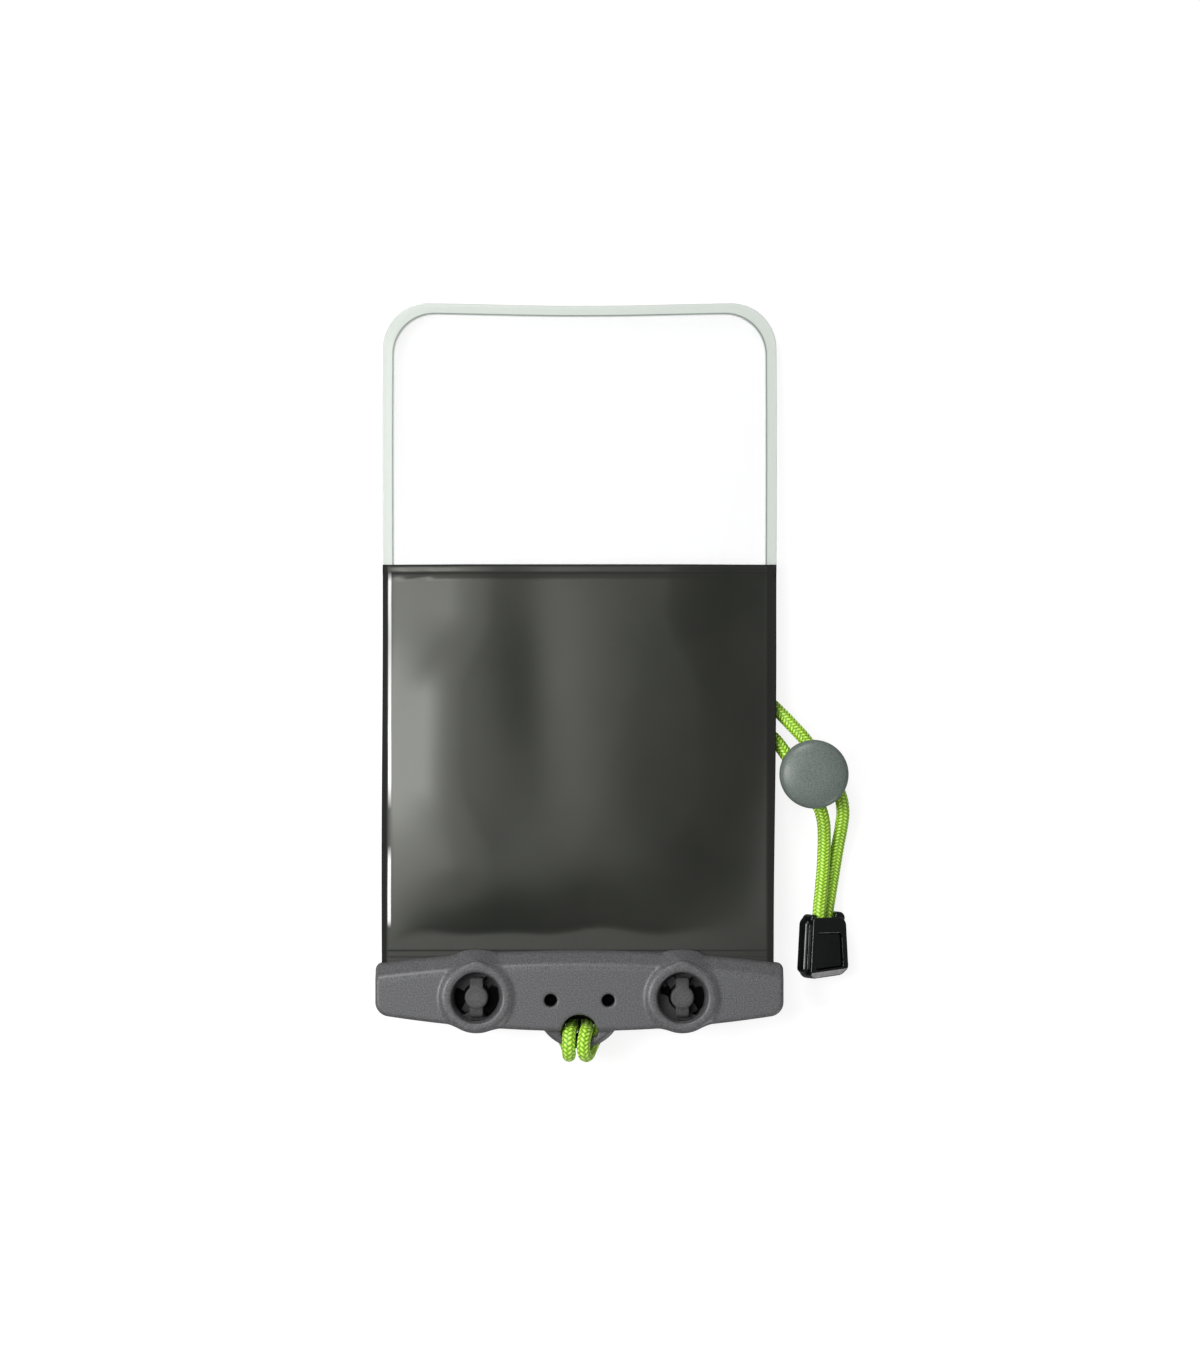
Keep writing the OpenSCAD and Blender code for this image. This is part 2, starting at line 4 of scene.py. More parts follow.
import bmesh
import bpy
import numpy as np
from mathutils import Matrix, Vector


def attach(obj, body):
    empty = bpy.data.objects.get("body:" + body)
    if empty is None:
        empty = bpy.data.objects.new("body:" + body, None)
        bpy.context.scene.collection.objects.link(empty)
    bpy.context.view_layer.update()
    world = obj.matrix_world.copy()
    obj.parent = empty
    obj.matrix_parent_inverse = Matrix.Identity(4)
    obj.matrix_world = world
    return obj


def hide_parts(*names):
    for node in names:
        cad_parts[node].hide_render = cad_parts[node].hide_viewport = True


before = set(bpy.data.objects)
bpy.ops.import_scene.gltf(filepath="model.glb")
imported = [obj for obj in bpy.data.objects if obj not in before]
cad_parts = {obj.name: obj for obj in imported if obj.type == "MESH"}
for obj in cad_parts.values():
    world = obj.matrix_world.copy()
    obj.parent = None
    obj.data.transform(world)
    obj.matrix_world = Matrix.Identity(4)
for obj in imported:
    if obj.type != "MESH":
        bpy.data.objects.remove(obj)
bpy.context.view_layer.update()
scene = bpy.context.scene
scene.view_settings.view_transform = "Standard"


# Camera, table and light
# A product picture from straight above, on a white table that shows only the soft shadow of the case. The key
# lamp stands on the left, weaker ones nearly overhead and behind, and a low one lights the near edges.
PICTURE_H = 0.3883
PICTURE_CENTRE = (0.0058, -0.0033)
CAMERA_H = 1.3
MEAN_H = 0.01


def linear(hex_colour):
    """The linear RGBA of an sRGB colour that is written as #RRGGBB."""
    parts = [int(hex_colour[i : i + 2], 16) / 255 for i in (1, 3, 5)]
    return tuple(c / 12.92 if c < 0.04045 else ((c + 0.055) / 1.055) ** 2.4 for c in parts) + (1.0,)


def add(tree, kind, sockets=None, **settings):
    """Adds a node with its settings, and gives each input named in sockets its value or its link."""
    node = tree.nodes.new(kind)
    for name, value in settings.items():
        setattr(node, name, value)
    for key, value in (sockets or {}).items():
        if isinstance(value, bpy.types.NodeSocket):
            tree.links.new(value, node.inputs[key])
        else:
            node.inputs[key].default_value = value
    return node


camera_data = bpy.data.cameras.new("camera")
camera_data.sensor_width = 36
camera_data.lens = camera_data.sensor_width * (CAMERA_H - MEAN_H) / PICTURE_H
camera = bpy.data.objects.new("camera", camera_data)
camera.location = (*PICTURE_CENTRE, CAMERA_H)
scene.collection.objects.link(camera)
scene.camera = camera

for name, place, size, power in (
    ("key_softbox", (-0.77, 0.02, 0.95), 0.42, 8),
    ("top_softbox", (-0.3, 0.06, 1.15), 0.6, 3.2),
    ("far_softbox", (-0.3, 0.85, 0.8), 0.34, 5.5),
    ("low_softbox", (0.75, -0.95, 0.25), 0.4, 3),
):
    lamp_data = bpy.data.lights.new(name, "AREA")
    lamp_data.shape = "SQUARE"
    lamp_data.size = size
    lamp_data.energy = power
    lamp = bpy.data.objects.new(name, lamp_data)
    lamp.location = place
    lamp.rotation_euler = (-Vector(place)).to_track_quat("-Z", "Y").to_euler()
    scene.collection.objects.link(lamp)

world = bpy.data.worlds.new("studio")
scene.world = world
world.use_nodes = True
tree = world.node_tree
tree.nodes.clear()
toward = add(tree, "ShaderNodeTexCoord")
height = add(tree, "ShaderNodeSeparateXYZ", {0: toward.outputs["Generated"]})
room = add(tree, "ShaderNodeMapRange", {"Value": height.outputs["Z"], "To Min": 0.4, "To Max": 0.22})
rays = add(tree, "ShaderNodeLightPath")
level = add(
    tree,
    "ShaderNodeMix",
    {"Factor": rays.outputs["Is Camera Ray"], "A": room.outputs["Result"], "B": 1.0},
)
sky = add(tree, "ShaderNodeBackground", {"Strength": level.outputs["Result"]})
add(tree, "ShaderNodeOutputWorld", {"Surface": sky.outputs[0]})

# The table is grey board with a share of its own light where the camera sees it, directly or through clear
# film, so that it is white there and keeps a soft shadow.
TABLE_REACH = 4
TABLE_Z = -0.0003
table_paint = bpy.data.materials.new("white_table")
table_paint.use_nodes = True
tree = table_paint.node_tree
tree.nodes.clear()
rays = add(tree, "ShaderNodeLightPath")
seen = add(
    tree,
    "ShaderNodeMath",
    {0: rays.outputs["Is Camera Ray"], 1: rays.outputs["Is Transmission Ray"]},
    operation="MAXIMUM",
)
board = add(tree, "ShaderNodeBsdfDiffuse", {"Color": (0.4, 0.4, 0.4, 1)})
shaded = add(tree, "ShaderNodeBsdfDiffuse", {"Color": (0.25, 0.25, 0.25, 1)})
glow = add(tree, "ShaderNodeEmission", {"Color": (1, 1, 1, 1), "Strength": 0.85})
white = add(tree, "ShaderNodeAddShader", {0: shaded.outputs[0], 1: glow.outputs[0]})
either = add(tree, "ShaderNodeMixShader", {0: seen.outputs[0], 1: board.outputs[0], 2: white.outputs[0]})
add(tree, "ShaderNodeOutputMaterial", {"Surface": either.outputs[0]})

table_mesh = bpy.data.meshes.new("table")
corners = [(x * TABLE_REACH, y * TABLE_REACH, TABLE_Z) for x, y in ((-1, -1), (1, -1), (1, 1), (-1, 1))]
table_mesh.from_pydata(corners, [], [(0, 1, 2, 3)])
table_mesh.materials.append(table_paint)
table = bpy.data.objects.new("table", table_mesh)
scene.collection.objects.link(table)


# Cord lock
# A spring-loaded lock in grey moulded plastic. The button and its stem slide in the barrel, and both strands
# run through the two side by side. The button is domed, and hollow below for the spring.
LOCK_X = 66.2
LOCK_Y = -28.2
LOCK_TURN = math.radians(-57.6)
BUTTON_R = 9.7
BUTTON_TOP = 18.0
BUTTON_FOOT = 11.2
DOME_FALL = 1.8
HOLLOW_R = 9.1
HOLLOW_TOP = 15.0
STEM_R = 6.8
STEM_FOOT = 3.05
STEM_TOP = 16.0
SLOT_Z = 7.55
SLOT_HALF_H = 3.5
BARREL_R = 8.8
BARREL_TOP = 12.0
BORE_R = 6.88
SPRING_SEAT_R = 8.2
SPRING_SEAT_Z = 9.2
STRAND_OFF = 3.45
STRAND_Z = 6.0
CORD_WAY_R = 2.05


def evaluated_mesh(obj, name):
    """The object's mesh with its modifiers applied, in a new object of that name, and the old one removed."""
    found = bpy.data.meshes.new_from_object(obj.evaluated_get(bpy.context.evaluated_depsgraph_get()))
    found.name = name
    fresh = bpy.data.objects.new(name, found)
    scene.collection.objects.link(fresh)
    bpy.data.objects.remove(obj)
    return fresh


def meet(a, b, r):
    """The field of what lies in both forms, with the outer edge between them rounded to r."""
    return np.minimum(np.maximum(a, b), -r) + np.hypot(np.maximum(a + r, 0), np.maximum(b + r, 0))


def join(a, b, r):
    """The field of both forms together, with the inner corner between them filled to r."""
    return -meet(-a, -b, r)


def moulded(name, low, high, cell, form, keep=1.0):
    """A closed mesh of a form, which is a field in mm, below zero inside, sampled on a grid of that cell."""
    axes = [np.arange(a - 2 * cell, b + 3 * cell, cell) for a, b in zip(low, high)]
    field = np.broadcast_to(form(*np.meshgrid(*axes, indexing="ij", sparse=True)), [len(a) for a in axes])
    count = np.array(field.shape) - 1
    total = np.zeros((*count, 3))
    hits = np.zeros(count)
    for axis in range(3):
        for p in (0, 1):
            for q in (0, 1):
                start = [0, 0, 0]
                start[(axis + 1) % 3] = p
                start[(axis + 2) % 3] = q
                stop = list(start)
                stop[axis] = 1
                a = field[tuple(slice(o, o + m) for o, m in zip(start, count))]
                b = field[tuple(slice(o, o + m) for o, m in zip(stop, count))]
                crossed = (a < 0) != (b < 0)
                hits += crossed
                total[..., axis] += np.where(crossed, a / np.where(crossed, a - b, 1), 0)
                total[..., (axis + 1) % 3] += p * crossed
                total[..., (axis + 2) % 3] += q * crossed
    used = hits > 0
    number = np.full(count, -1)
    number[used] = np.arange(used.sum())
    verts = (np.argwhere(used) + total[used] / hits[used][:, None]) * cell + [a[0] for a in axes]
    inside = field < 0
    quads = []
    for axis in range(3):
        one, two = (axis + 1) % 3, (axis + 2) % 3
        near = [slice(1, -1)] * 3
        near[axis] = slice(0, -1)
        far = list(near)
        far[axis] = slice(1, None)
        edges = inside[tuple(near)] != inside[tuple(far)]
        at = np.argwhere(edges)
        corners = []
        for p, q in ((0, 0), (1, 0), (1, 1), (0, 1)):
            cell_at = at.copy()
            cell_at[:, one] += p
            cell_at[:, two] += q
            corners.append(number[tuple(cell_at.T)])
        faces = np.stack(corners, 1)
        outward = inside[tuple(near)][edges]
        faces[~outward] = faces[~outward][:, ::-1]
        quads.append(faces)
    mesh = bpy.data.meshes.new(name)
    mesh.from_pydata((verts * 0.001).tolist(), [], np.vstack(quads).tolist())
    piece = bpy.data.objects.new(name, mesh)
    scene.collection.objects.link(piece)
    if keep < 1:
        thinned = piece.modifiers.new("thinned", "DECIMATE")
        thinned.ratio = keep
        piece = evaluated_mesh(piece, name)
    piece.data.shade_smooth()
    return piece


def lock_frame(x, y):
    """How far from the lock's middle a point is across the strands, and in all."""
    along = (x - LOCK_X) * math.cos(LOCK_TURN) + (y - LOCK_Y) * math.sin(LOCK_TURN)
    across = (y - LOCK_Y) * math.cos(LOCK_TURN) - (x - LOCK_X) * math.sin(LOCK_TURN)
    return across, np.hypot(along, across)


def lock_button_form(x, y, z):
    """The domed button and its stem, with a slot in the stem for each strand."""
    across, r = lock_frame(x, y)
    dome = z - BUTTON_TOP + DOME_FALL * (r / BUTTON_R) ** 3.8
    button = meet(meet(r - BUTTON_R, dome, 1.1), BUTTON_FOOT - z, 0.25)
    hollow = np.maximum(r - HOLLOW_R, z - HOLLOW_TOP)
    button = np.maximum(button, -hollow)
    stem = meet(r - STEM_R, STEM_FOOT - z, 0.4)
    stem = np.maximum(stem, z - STEM_TOP)
    slot = meet(np.abs(np.abs(across) - STRAND_OFF) - CORD_WAY_R, np.abs(z - SLOT_Z) - SLOT_HALF_H, 0.4)
    return np.minimum(button, meet(stem, -slot, 0.2))


def lock_barrel_form(x, y, z):
    """The barrel, with a bore for the stem, a seat for the spring and a tunnel for each strand."""
    across, r = lock_frame(x, y)
    barrel = meet(r - BARREL_R, np.abs(z - BARREL_TOP / 2) - BARREL_TOP / 2, 0.35)
    bore = np.minimum(r - BORE_R, np.maximum(r - SPRING_SEAT_R, SPRING_SEAT_Z - z))
    barrel = meet(barrel, -bore, 0.15)
    tunnels = np.hypot(np.abs(across) - STRAND_OFF, z - STRAND_Z) - CORD_WAY_R
    return meet(barrel, -tunnels, 0.3)


# Grey-green moulded plastic, satin, with a fine mottle.
lock_plastic = bpy.data.materials.new("grey_green_moulded_plastic")
lock_plastic.use_nodes = True
tree = lock_plastic.node_tree
tree.nodes.clear()
place = add(tree, "ShaderNodeTexCoord")
grain = add(
    tree, "ShaderNodeTexNoise", {"Vector": place.outputs["Object"], "Scale": 2800.0, "Detail": 3.0}
)
tone = add(tree, "ShaderNodeValToRGB", {"Fac": grain.outputs["Fac"]})
tone.color_ramp.elements[0].color = linear("#58615C")
tone.color_ramp.elements[0].position = 0.34
tone.color_ramp.elements[1].color = linear("#707A74")
tone.color_ramp.elements[1].position = 0.66
relief = add(
    tree, "ShaderNodeBump", {"Height": grain.outputs["Fac"], "Strength": 0.22, "Distance": 0.0001}
)
skin = add(
    tree,
    "ShaderNodeBsdfPrincipled",
    {"Base Color": tone.outputs["Color"], "Roughness": 0.38, "IOR": 1.5, "Normal": relief.outputs[0]},
)
add(tree, "ShaderNodeOutputMaterial", {"Surface": skin.outputs[0]})

for name, node, body, low_z, high_z, form in (
    ("lock_button", "cord_lock_plunger", "lock_plunger", STEM_FOOT, BUTTON_TOP, lock_button_form),
    ("lock_barrel", "cord_lock_barrel", "case", 0.0, BARREL_TOP, lock_barrel_form),
):
    low = (LOCK_X - BUTTON_R, LOCK_Y - BUTTON_R, low_z)
    high = (LOCK_X + BUTTON_R, LOCK_Y + BUTTON_R, high_z)
    piece = moulded(name, low, high, 0.2, form, keep=0.6)
    piece.data.materials.append(lock_plastic)
    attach(piece, body)
    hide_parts(node)

# Spring steel wire, drawn and lightly oiled, inside the lock.
spring_wire = bpy.data.materials.new("drawn_spring_steel")
spring_wire.use_nodes = True
tree = spring_wire.node_tree
tree.nodes.clear()
place = add(tree, "ShaderNodeTexCoord")
drawn = add(tree, "ShaderNodeTexNoise", {"Vector": place.outputs["Object"], "Scale": 5200.0, "Detail": 2.0})
tone = add(tree, "ShaderNodeValToRGB", {"Fac": drawn.outputs["Fac"]})
tone.color_ramp.elements[0].color = linear("#8C8C8A")
tone.color_ramp.elements[1].color = linear("#B9B9B6")
skin = add(
    tree,
    "ShaderNodeBsdfPrincipled",
    {"Base Color": tone.outputs["Color"], "Metallic": 1.0, "Roughness": 0.32},
)
add(tree, "ShaderNodeOutputMaterial", {"Surface": skin.outputs[0]})
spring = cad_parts["cord_lock_spring"]
for each in spring.material_slots:
    each.material = spring_wire


# Cord end
# A black two-part cord end, moulded in glossy plastic. The cord's two ends go into its socket, side by side,
# between two rounded ears, and a flat cover is pressed into the recess of its face.
END_L = 17.6
END_HALF_W = 5.8
FAR_HALF_W = 6.8
FAR_SKEW = 1.4
PLATE_HALF_H = 3.6
RECESS_IN = 1.7
RECESS_FLOOR = 1.9
COVER_IN = 1.85
COVER_T = 0.9
DISH_R = 19.4
END_ROLL = math.radians(24)
END_X = 68.9
END_Y = -68.9
END_Z = FAR_HALF_W * math.sin(END_ROLL) + PLATE_HALF_H * math.cos(END_ROLL)
END_BOX = ((61.5, -86.6, 0.3), (76.3, -67.4, 11.8))
SOCKET_STRANDS = ((70.3, 4.4), (67.9, 7.6))
SOCKET_DEPTH = 4


def end_frame(x, y, z):
    """A point in the cord end's own directions: across it, towards the cord, and out of its cover."""
    across = (x - END_X) * math.cos(END_ROLL) - (z - END_Z) * math.sin(END_ROLL)
    out = (x - END_X) * math.sin(END_ROLL) + (z - END_Z) * math.cos(END_ROLL)
    return across, y - END_Y, out


def from_line(u, v, a, b):
    """The distance in a plane from the straight line between two points."""
    du, dv = b[0] - a[0], b[1] - a[1]
    t = np.clip(((u - a[0]) * du + (v - a[1]) * dv) / (du * du + dv * dv), 0, 1)
    return np.hypot(u - a[0] - t * du, v - a[1] - t * dv)


def end_sides(across, along):
    """The left, right and far edges of the cord end, which widens towards its far edge and ends askew."""
    half = END_HALF_W - along / END_L
    far = -END_L + FAR_SKEW * (across + FAR_HALF_W) / (2 * FAR_HALF_W) - along
    return -across - half, across - half, far


def cover_plan(across, along, inset):
    """The outline of the cover, moved in from the edges of the cord end."""
    left, right, low = end_sides(across, along)
    sides = meet(left + 1.2 + inset, right + inset, 0.3)
    return meet(meet(sides, along + 2.7 + inset, 0.5), low + 0.7 + inset, 0.5)


def cord_end_form(x, y, z):
    """The body: a rounded shell, a raised plate with its recess, the ears and the socket."""
    across, along, out = end_frame(x, y, z)
    left, right, low = end_sides(across, along)
    plan = meet(meet(left, along, 2.0), right, 2.2)
    plan = meet(plan, low, 0.4)
    plan = meet(plan, (left + low + 2.6) / math.sqrt(2), 0.4)
    plan = meet(plan, (right + low + 1.8) / math.sqrt(2), 0.6)
    shell = meet(plan, np.abs(out + 1.2) - 2.4, 1.2)
    plate = meet(meet(plan, left + 1.3, 0.3), np.abs(out) - PLATE_HALF_H, 0.35)
    plate = meet(plate, (low + 1.9) * 0.5 + (out - PLATE_HALF_H) * 0.866, 0.15)
    body = join(shell, plate, 0.12)
    ears = np.minimum(np.hypot(across + 3.7, along + 0.5) - 1.35, np.hypot(across - 4.2, along + 0.2) - 1.75)
    ears = meet(ears, np.abs(out) - 2.9, 0.7)
    body = join(body, ears, 0.4)
    body = meet(body, -np.maximum(cover_plan(across, along, RECESS_IN), RECESS_FLOOR - out), 0.15)
    socket = np.maximum(from_line(x, z, *SOCKET_STRANDS) - CORD_WAY_R, -SOCKET_DEPTH - along)
    return meet(body, -socket, 0.35)


def cord_end_cover_form(x, y, z):
    """The cover, with a shallow dish in its face."""
    across, along, out = end_frame(x, y, z)
    level = np.abs(out - RECESS_FLOOR - COVER_T / 2) - COVER_T / 2
    plate = meet(cover_plan(across, along, COVER_IN), level, 0.2)
    dish = np.sqrt(across**2 + ((along + 10) * 0.5) ** 2 + (out - 21.8) ** 2) - DISH_R
    return meet(plate, -dish, 0.2)


# Black moulded plastic, glossy from a polished mould, with fine handling marks.
end_plastic = bpy.data.materials.new("glossy_black_acetal")
end_plastic.use_nodes = True
tree = end_plastic.node_tree
tree.nodes.clear()
place = add(tree, "ShaderNodeTexCoord")
wear = add(tree, "ShaderNodeTexNoise", {"Vector": place.outputs["Object"], "Scale": 900.0, "Detail": 5.0})
polish = add(
    tree,
    "ShaderNodeMapRange",
    {"Value": wear.outputs["Fac"], "From Min": 0.3, "From Max": 0.7, "To Min": 0.16, "To Max": 0.26},
)
tone = add(tree, "ShaderNodeValToRGB", {"Fac": wear.outputs["Fac"]})
tone.color_ramp.elements[0].color = linear("#020303")
tone.color_ramp.elements[1].color = linear("#0A0C0C")
skin = add(
    tree,
    "ShaderNodeBsdfPrincipled",
    {"Base Color": tone.outputs["Color"], "Roughness": polish.outputs["Result"], "IOR": 1.48},
)
add(tree, "ShaderNodeOutputMaterial", {"Surface": skin.outputs[0]})

for name, node, form in (
    ("cord_end_housing", "cord_end_body", cord_end_form),
    ("cord_end_lid", "cord_end_cover", cord_end_cover_form),
):
    piece = moulded(name, *END_BOX, 0.16, form, keep=0.5)
    piece.data.materials.append(end_plastic)
    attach(piece, "case")
    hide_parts(node)


# Lanyard
# One braided polyester cord, 3.8 mm thick, is hitched through the eye of the clip. Its two strands run under
# the case, through the cord lock and into the cord end. The cover is a tube of 16 yarns, each of which runs
# over two and under two.
CORD_LOW = 0.00195
HITCH_Z = 0.011
HITCH_RISE = 0.0025
HITCH_SWELL = 0.14
ROUTE_A = [
    (0, -94.6, 9), (-1.4, -94.6, 9), (-4.3, -95.7, 9), (-6.1, -98.1, 9), (-5.9, -100.7, 8.8),
    (-4.7, -102.9, 8.7), (-3.5, -105.1, 9.1), (-3, -107, 11), (-2.95, -107.5, 13.4), (-3, -106.2, 15.5),
    (-3, -103.8, 16.2), (-2.85, -101.6, 15.2), (-2.65, -100.4, 12.8), (-2.4, -100.3, 9.8), (-2.1, -100.2, 7),
    (-2.05, -99.6, 4.8), (-2.1, -97.6, 3), (-2.15, -94.6, 2.25), (-2.4, -90, 2), (-2.4, -80, 1.95),
    (-2, -68, 1.95), (-0.6, -56, 1.95), (2.4, -44, 1.95), (7.4, -33, 1.95), (14.5, -23.5, 1.95),
    (23.5, -16, 1.95), (33, -10.2, 1.95), (41.5, -6.2, 1.95), (48, -5, 2.2), (52.6, -7, 3.2),
    (56.4, -10.4, 4.6), (60.3, -14.4, 5.6), (64.5, -19.1, 6), (69.1, -26.35, 6),
    (73.7, -33.6, 6), (74.8, -38.6, 5), (74.4, -43.5, 3.6), (73.5, -48.5, 2.6), (72.1, -57, 2.4),
    (71, -63.4, 3.6), (70.35, -67.4, 4.35), (70.3, -70, 4.4), (70.3, -72.9, 4.4),
]
ROUTE_B = [
    (0, -94.6, 9), (1.4, -94.6, 9), (4.4, -95.7, 9), (6.1, -98.2, 9), (5.7, -100.9, 8.7), (4.5, -103.3, 8.5),
    (3.4, -105.5, 8.9), (2.6, -107.2, 10.7), (1.8, -107.6, 13.2), (1.25, -106.4, 15.5), (1.15, -103.9, 16.2),
    (1.6, -101.6, 15.3), (2, -100.4, 12.9), (2.25, -100.3, 9.8), (2.1, -100.2, 7), (2.05, -99.6, 4.8),
    (2.1, -97.6, 3), (2.15, -94.6, 2.25), (2.4, -90, 2), (2.4, -80, 1.95), (2.9, -68, 1.95),
    (4.3, -56.5, 1.95), (7.2, -45.5, 1.95), (11.8, -35.8, 1.95), (18.4, -27.6, 1.95), (27, -20.9, 1.95),
    (36.5, -15.9, 1.95), (44.5, -13.6, 2.2), (50.5, -14.8, 3.5), (55.2, -18.3, 5), (58.7, -22.8, 6),
    (63.3, -30.05, 6), (67.9, -37.3, 6), (69.2, -41.5, 5.8), (69.5, -46.5, 5.5), (69.2, -54.5, 5.6),
    (68.5, -62, 6.7), (67.95, -67.4, 7.55), (67.9, -70, 7.6), (67.9, -72.9, 7.6),
]


def smooth_path(points, step):
    """A smooth curve through the points, in metres, with a point about every step."""
    p = np.array(points, float) * 0.001
    p = np.vstack([2 * p[0] - p[1], p, 2 * p[-1] - p[-2]])
    knots = np.concatenate([[0], np.cumsum(np.sqrt(np.linalg.norm(np.diff(p, axis=0), axis=1)))])
    out = []
    for i in range(1, len(p) - 2):
        t0, t1, t2, t3 = knots[i - 1 : i + 3]
        count = max(2, round(np.linalg.norm(p[i + 1] - p[i]) / step))
        for t in np.linspace(t1, t2, count, endpoint=False):
            a1 = ((t1 - t) * p[i - 1] + (t - t0) * p[i]) / (t1 - t0)
            a2 = ((t2 - t) * p[i] + (t - t1) * p[i + 1]) / (t2 - t1)
            a3 = ((t3 - t) * p[i + 1] + (t - t2) * p[i + 2]) / (t3 - t2)
            b1 = ((t2 - t) * a1 + (t - t0) * a2) / (t2 - t0)
            b2 = ((t3 - t) * a2 + (t - t1) * a3) / (t3 - t1)
            out.append(((t2 - t) * b1 + (t - t1) * b2) / (t2 - t1))
    out.append(p[-2])
    return np.array(out)


# Braided polyester, dyed lime. Its colour follows the yarn's height: painted highlights up to near white on
# the crests, painted shade in the gaps, and a silky sheen on top.
cord_yarn = bpy.data.materials.new("lime_braided_polyester")
cord_yarn.use_nodes = True
tree = cord_yarn.node_tree
tree.nodes.clear()
# The yarn's height sets its colour: painted shade low in the gaps, painted highlight up to near white on the
# crests.
crest = add(tree, "ShaderNodeAttribute", attribute_name="yarn")
shade = add(tree, "ShaderNodeValToRGB", {"Fac": crest.outputs["Fac"]})
shade.color_ramp.elements[0].color = linear("#365C09")
shade.color_ramp.elements[0].position = 0.08
shade.color_ramp.elements[1].color = linear("#F0FF8C")
shade.color_ramp.elements[1].position = 0.97
for position, colour in ((0.3, "#6CA41C"), (0.6, "#A2DA30"), (0.8, "#C9F546")):
    shade.color_ramp.elements.new(position).color = linear(colour)
place = add(tree, "ShaderNodeTexCoord")
fibre = add(tree, "ShaderNodeTexNoise", {"Vector": place.outputs["Object"], "Scale": 6000.0, "Detail": 2.0})
relief = add(tree, "ShaderNodeBump", {"Height": fibre.outputs["Fac"], "Strength": 0.45, "Distance": 0.00008})
skin = add(
    tree,
    "ShaderNodeBsdfPrincipled",
    {
        "Base Color": shade.outputs["Color"],
        "Roughness": 0.36,
        "IOR": 1.5,
        "Sheen Weight": 0.15,
        "Normal": relief.outputs[0],
    },
)
add(tree, "ShaderNodeOutputMaterial", {"Surface": skin.outputs[0]})

# The braid as a rule: a point is on a yarn of one family or of the other, and each yarn lifts and dips.
braid = bpy.data.node_groups.new("braided_cover", "GeometryNodeTree")
braid.interface.new_socket("Route", in_out="INPUT", socket_type="NodeSocketGeometry")
for name, value in (
    ("Core radius", 0.00174),
    ("Yarn height", 0.0002),
    ("Lead", 0.0078),
    ("Yarns each way", 8.0),
    ("Step", 0.00016),
):
    braid.interface.new_socket(name, in_out="INPUT", socket_type="NodeSocketFloat").default_value = value
braid.interface.new_socket("Cord", in_out="OUTPUT", socket_type="NodeSocketGeometry")
given = add(braid, "NodeGroupInput").outputs
route = add(
    braid, "GeometryNodeResampleCurve", {"Curve": given["Route"], "Length": given["Step"]}, mode="LENGTH"
)
along = add(braid, "GeometryNodeSplineParameter")
route_kept = add(braid, "GeometryNodeCaptureAttribute", {"Geometry": route.outputs[0]})
route_kept.capture_items.new("FLOAT", "along")
braid.links.new(along.outputs["Length"], route_kept.inputs[1])
ring = add(braid, "GeometryNodeCurvePrimitiveCircle", {"Resolution": 52, "Radius": given["Core radius"]})
ring_kept = add(braid, "GeometryNodeCaptureAttribute", {"Geometry": ring.outputs[0]})
ring_kept.capture_items.new("FLOAT", "around")
braid.links.new(along.outputs["Factor"], ring_kept.inputs[1])
tube = add(
    braid,
    "GeometryNodeCurveToMesh",
    {"Curve": route_kept.outputs[0], "Profile Curve": ring_kept.outputs[0], "Fill Caps": True},
)
turns = add(braid, "ShaderNodeMath", {0: route_kept.outputs[1], 1: given["Lead"]}, operation="DIVIDE")
families = []
for way in ("ADD", "SUBTRACT"):
    lean = add(braid, "ShaderNodeMath", {0: ring_kept.outputs[1], 1: turns.outputs[0]}, operation=way)
    yarns = add(
        braid, "ShaderNodeMath", {0: lean.outputs[0], 1: given["Yarns each way"]}, operation="MULTIPLY"
    )
    whole = add(braid, "ShaderNodeMath", {0: yarns.outputs[0]}, operation="FLOOR")
    part = add(braid, "ShaderNodeMath", {0: yarns.outputs[0]}, operation="FRACT")
    families.append((whole.outputs[0], part.outputs[0]))
crossing = add(braid, "ShaderNodeMath", {0: families[0][0], 1: families[1][0]}, operation="ADD")
crossing = add(braid, "ShaderNodeMath", {0: crossing.outputs[0], 1: 4.0}, operation="FLOORED_MODULO")
second = add(braid, "ShaderNodeMath", {0: crossing.outputs[0], 1: 1.5}, operation="GREATER_THAN")
across = add(
    braid, "ShaderNodeMix", {"Factor": second.outputs[0], "A": families[0][1], "B": families[1][1]}
)
forward = add(
    braid, "ShaderNodeMix", {"Factor": second.outputs[0], "A": families[1][1], "B": families[0][1]}
)
cell = add(braid, "ShaderNodeMath", {0: crossing.outputs[0], 1: 2.0}, operation="FLOORED_MODULO")
float_at = add(braid, "ShaderNodeMath", {0: cell.outputs[0], 1: forward.outputs["Result"]}, operation="ADD")
float_angle = add(braid, "ShaderNodeMath", {0: float_at.outputs[0], 1: math.pi / 2}, operation="MULTIPLY")
arch = add(braid, "ShaderNodeMath", {0: float_angle.outputs[0]}, operation="SINE")
width_angle = add(braid, "ShaderNodeMath", {0: across.outputs["Result"], 1: math.pi}, operation="MULTIPLY")
bulge = add(braid, "ShaderNodeMath", {0: width_angle.outputs[0]}, operation="SINE")
bulge = add(braid, "ShaderNodeMath", {0: bulge.outputs[0], 1: 0.6}, operation="POWER")
arch = add(braid, "ShaderNodeMath", {0: arch.outputs[0], 1: 0.65, 2: 0.35}, operation="MULTIPLY_ADD")
crown = add(braid, "ShaderNodeMath", {0: arch.outputs[0], 1: bulge.outputs[0]}, operation="MULTIPLY")
lift = add(braid, "ShaderNodeMath", {0: crown.outputs[0], 1: given["Yarn height"]}, operation="MULTIPLY")
outward = add(braid, "GeometryNodeInputNormal")
offset = add(
    braid, "ShaderNodeVectorMath", {0: outward.outputs[0], "Scale": lift.outputs[0]}, operation="SCALE"
)
raised = add(braid, "GeometryNodeSetPosition", {"Geometry": tube.outputs[0], "Offset": offset.outputs[0]})
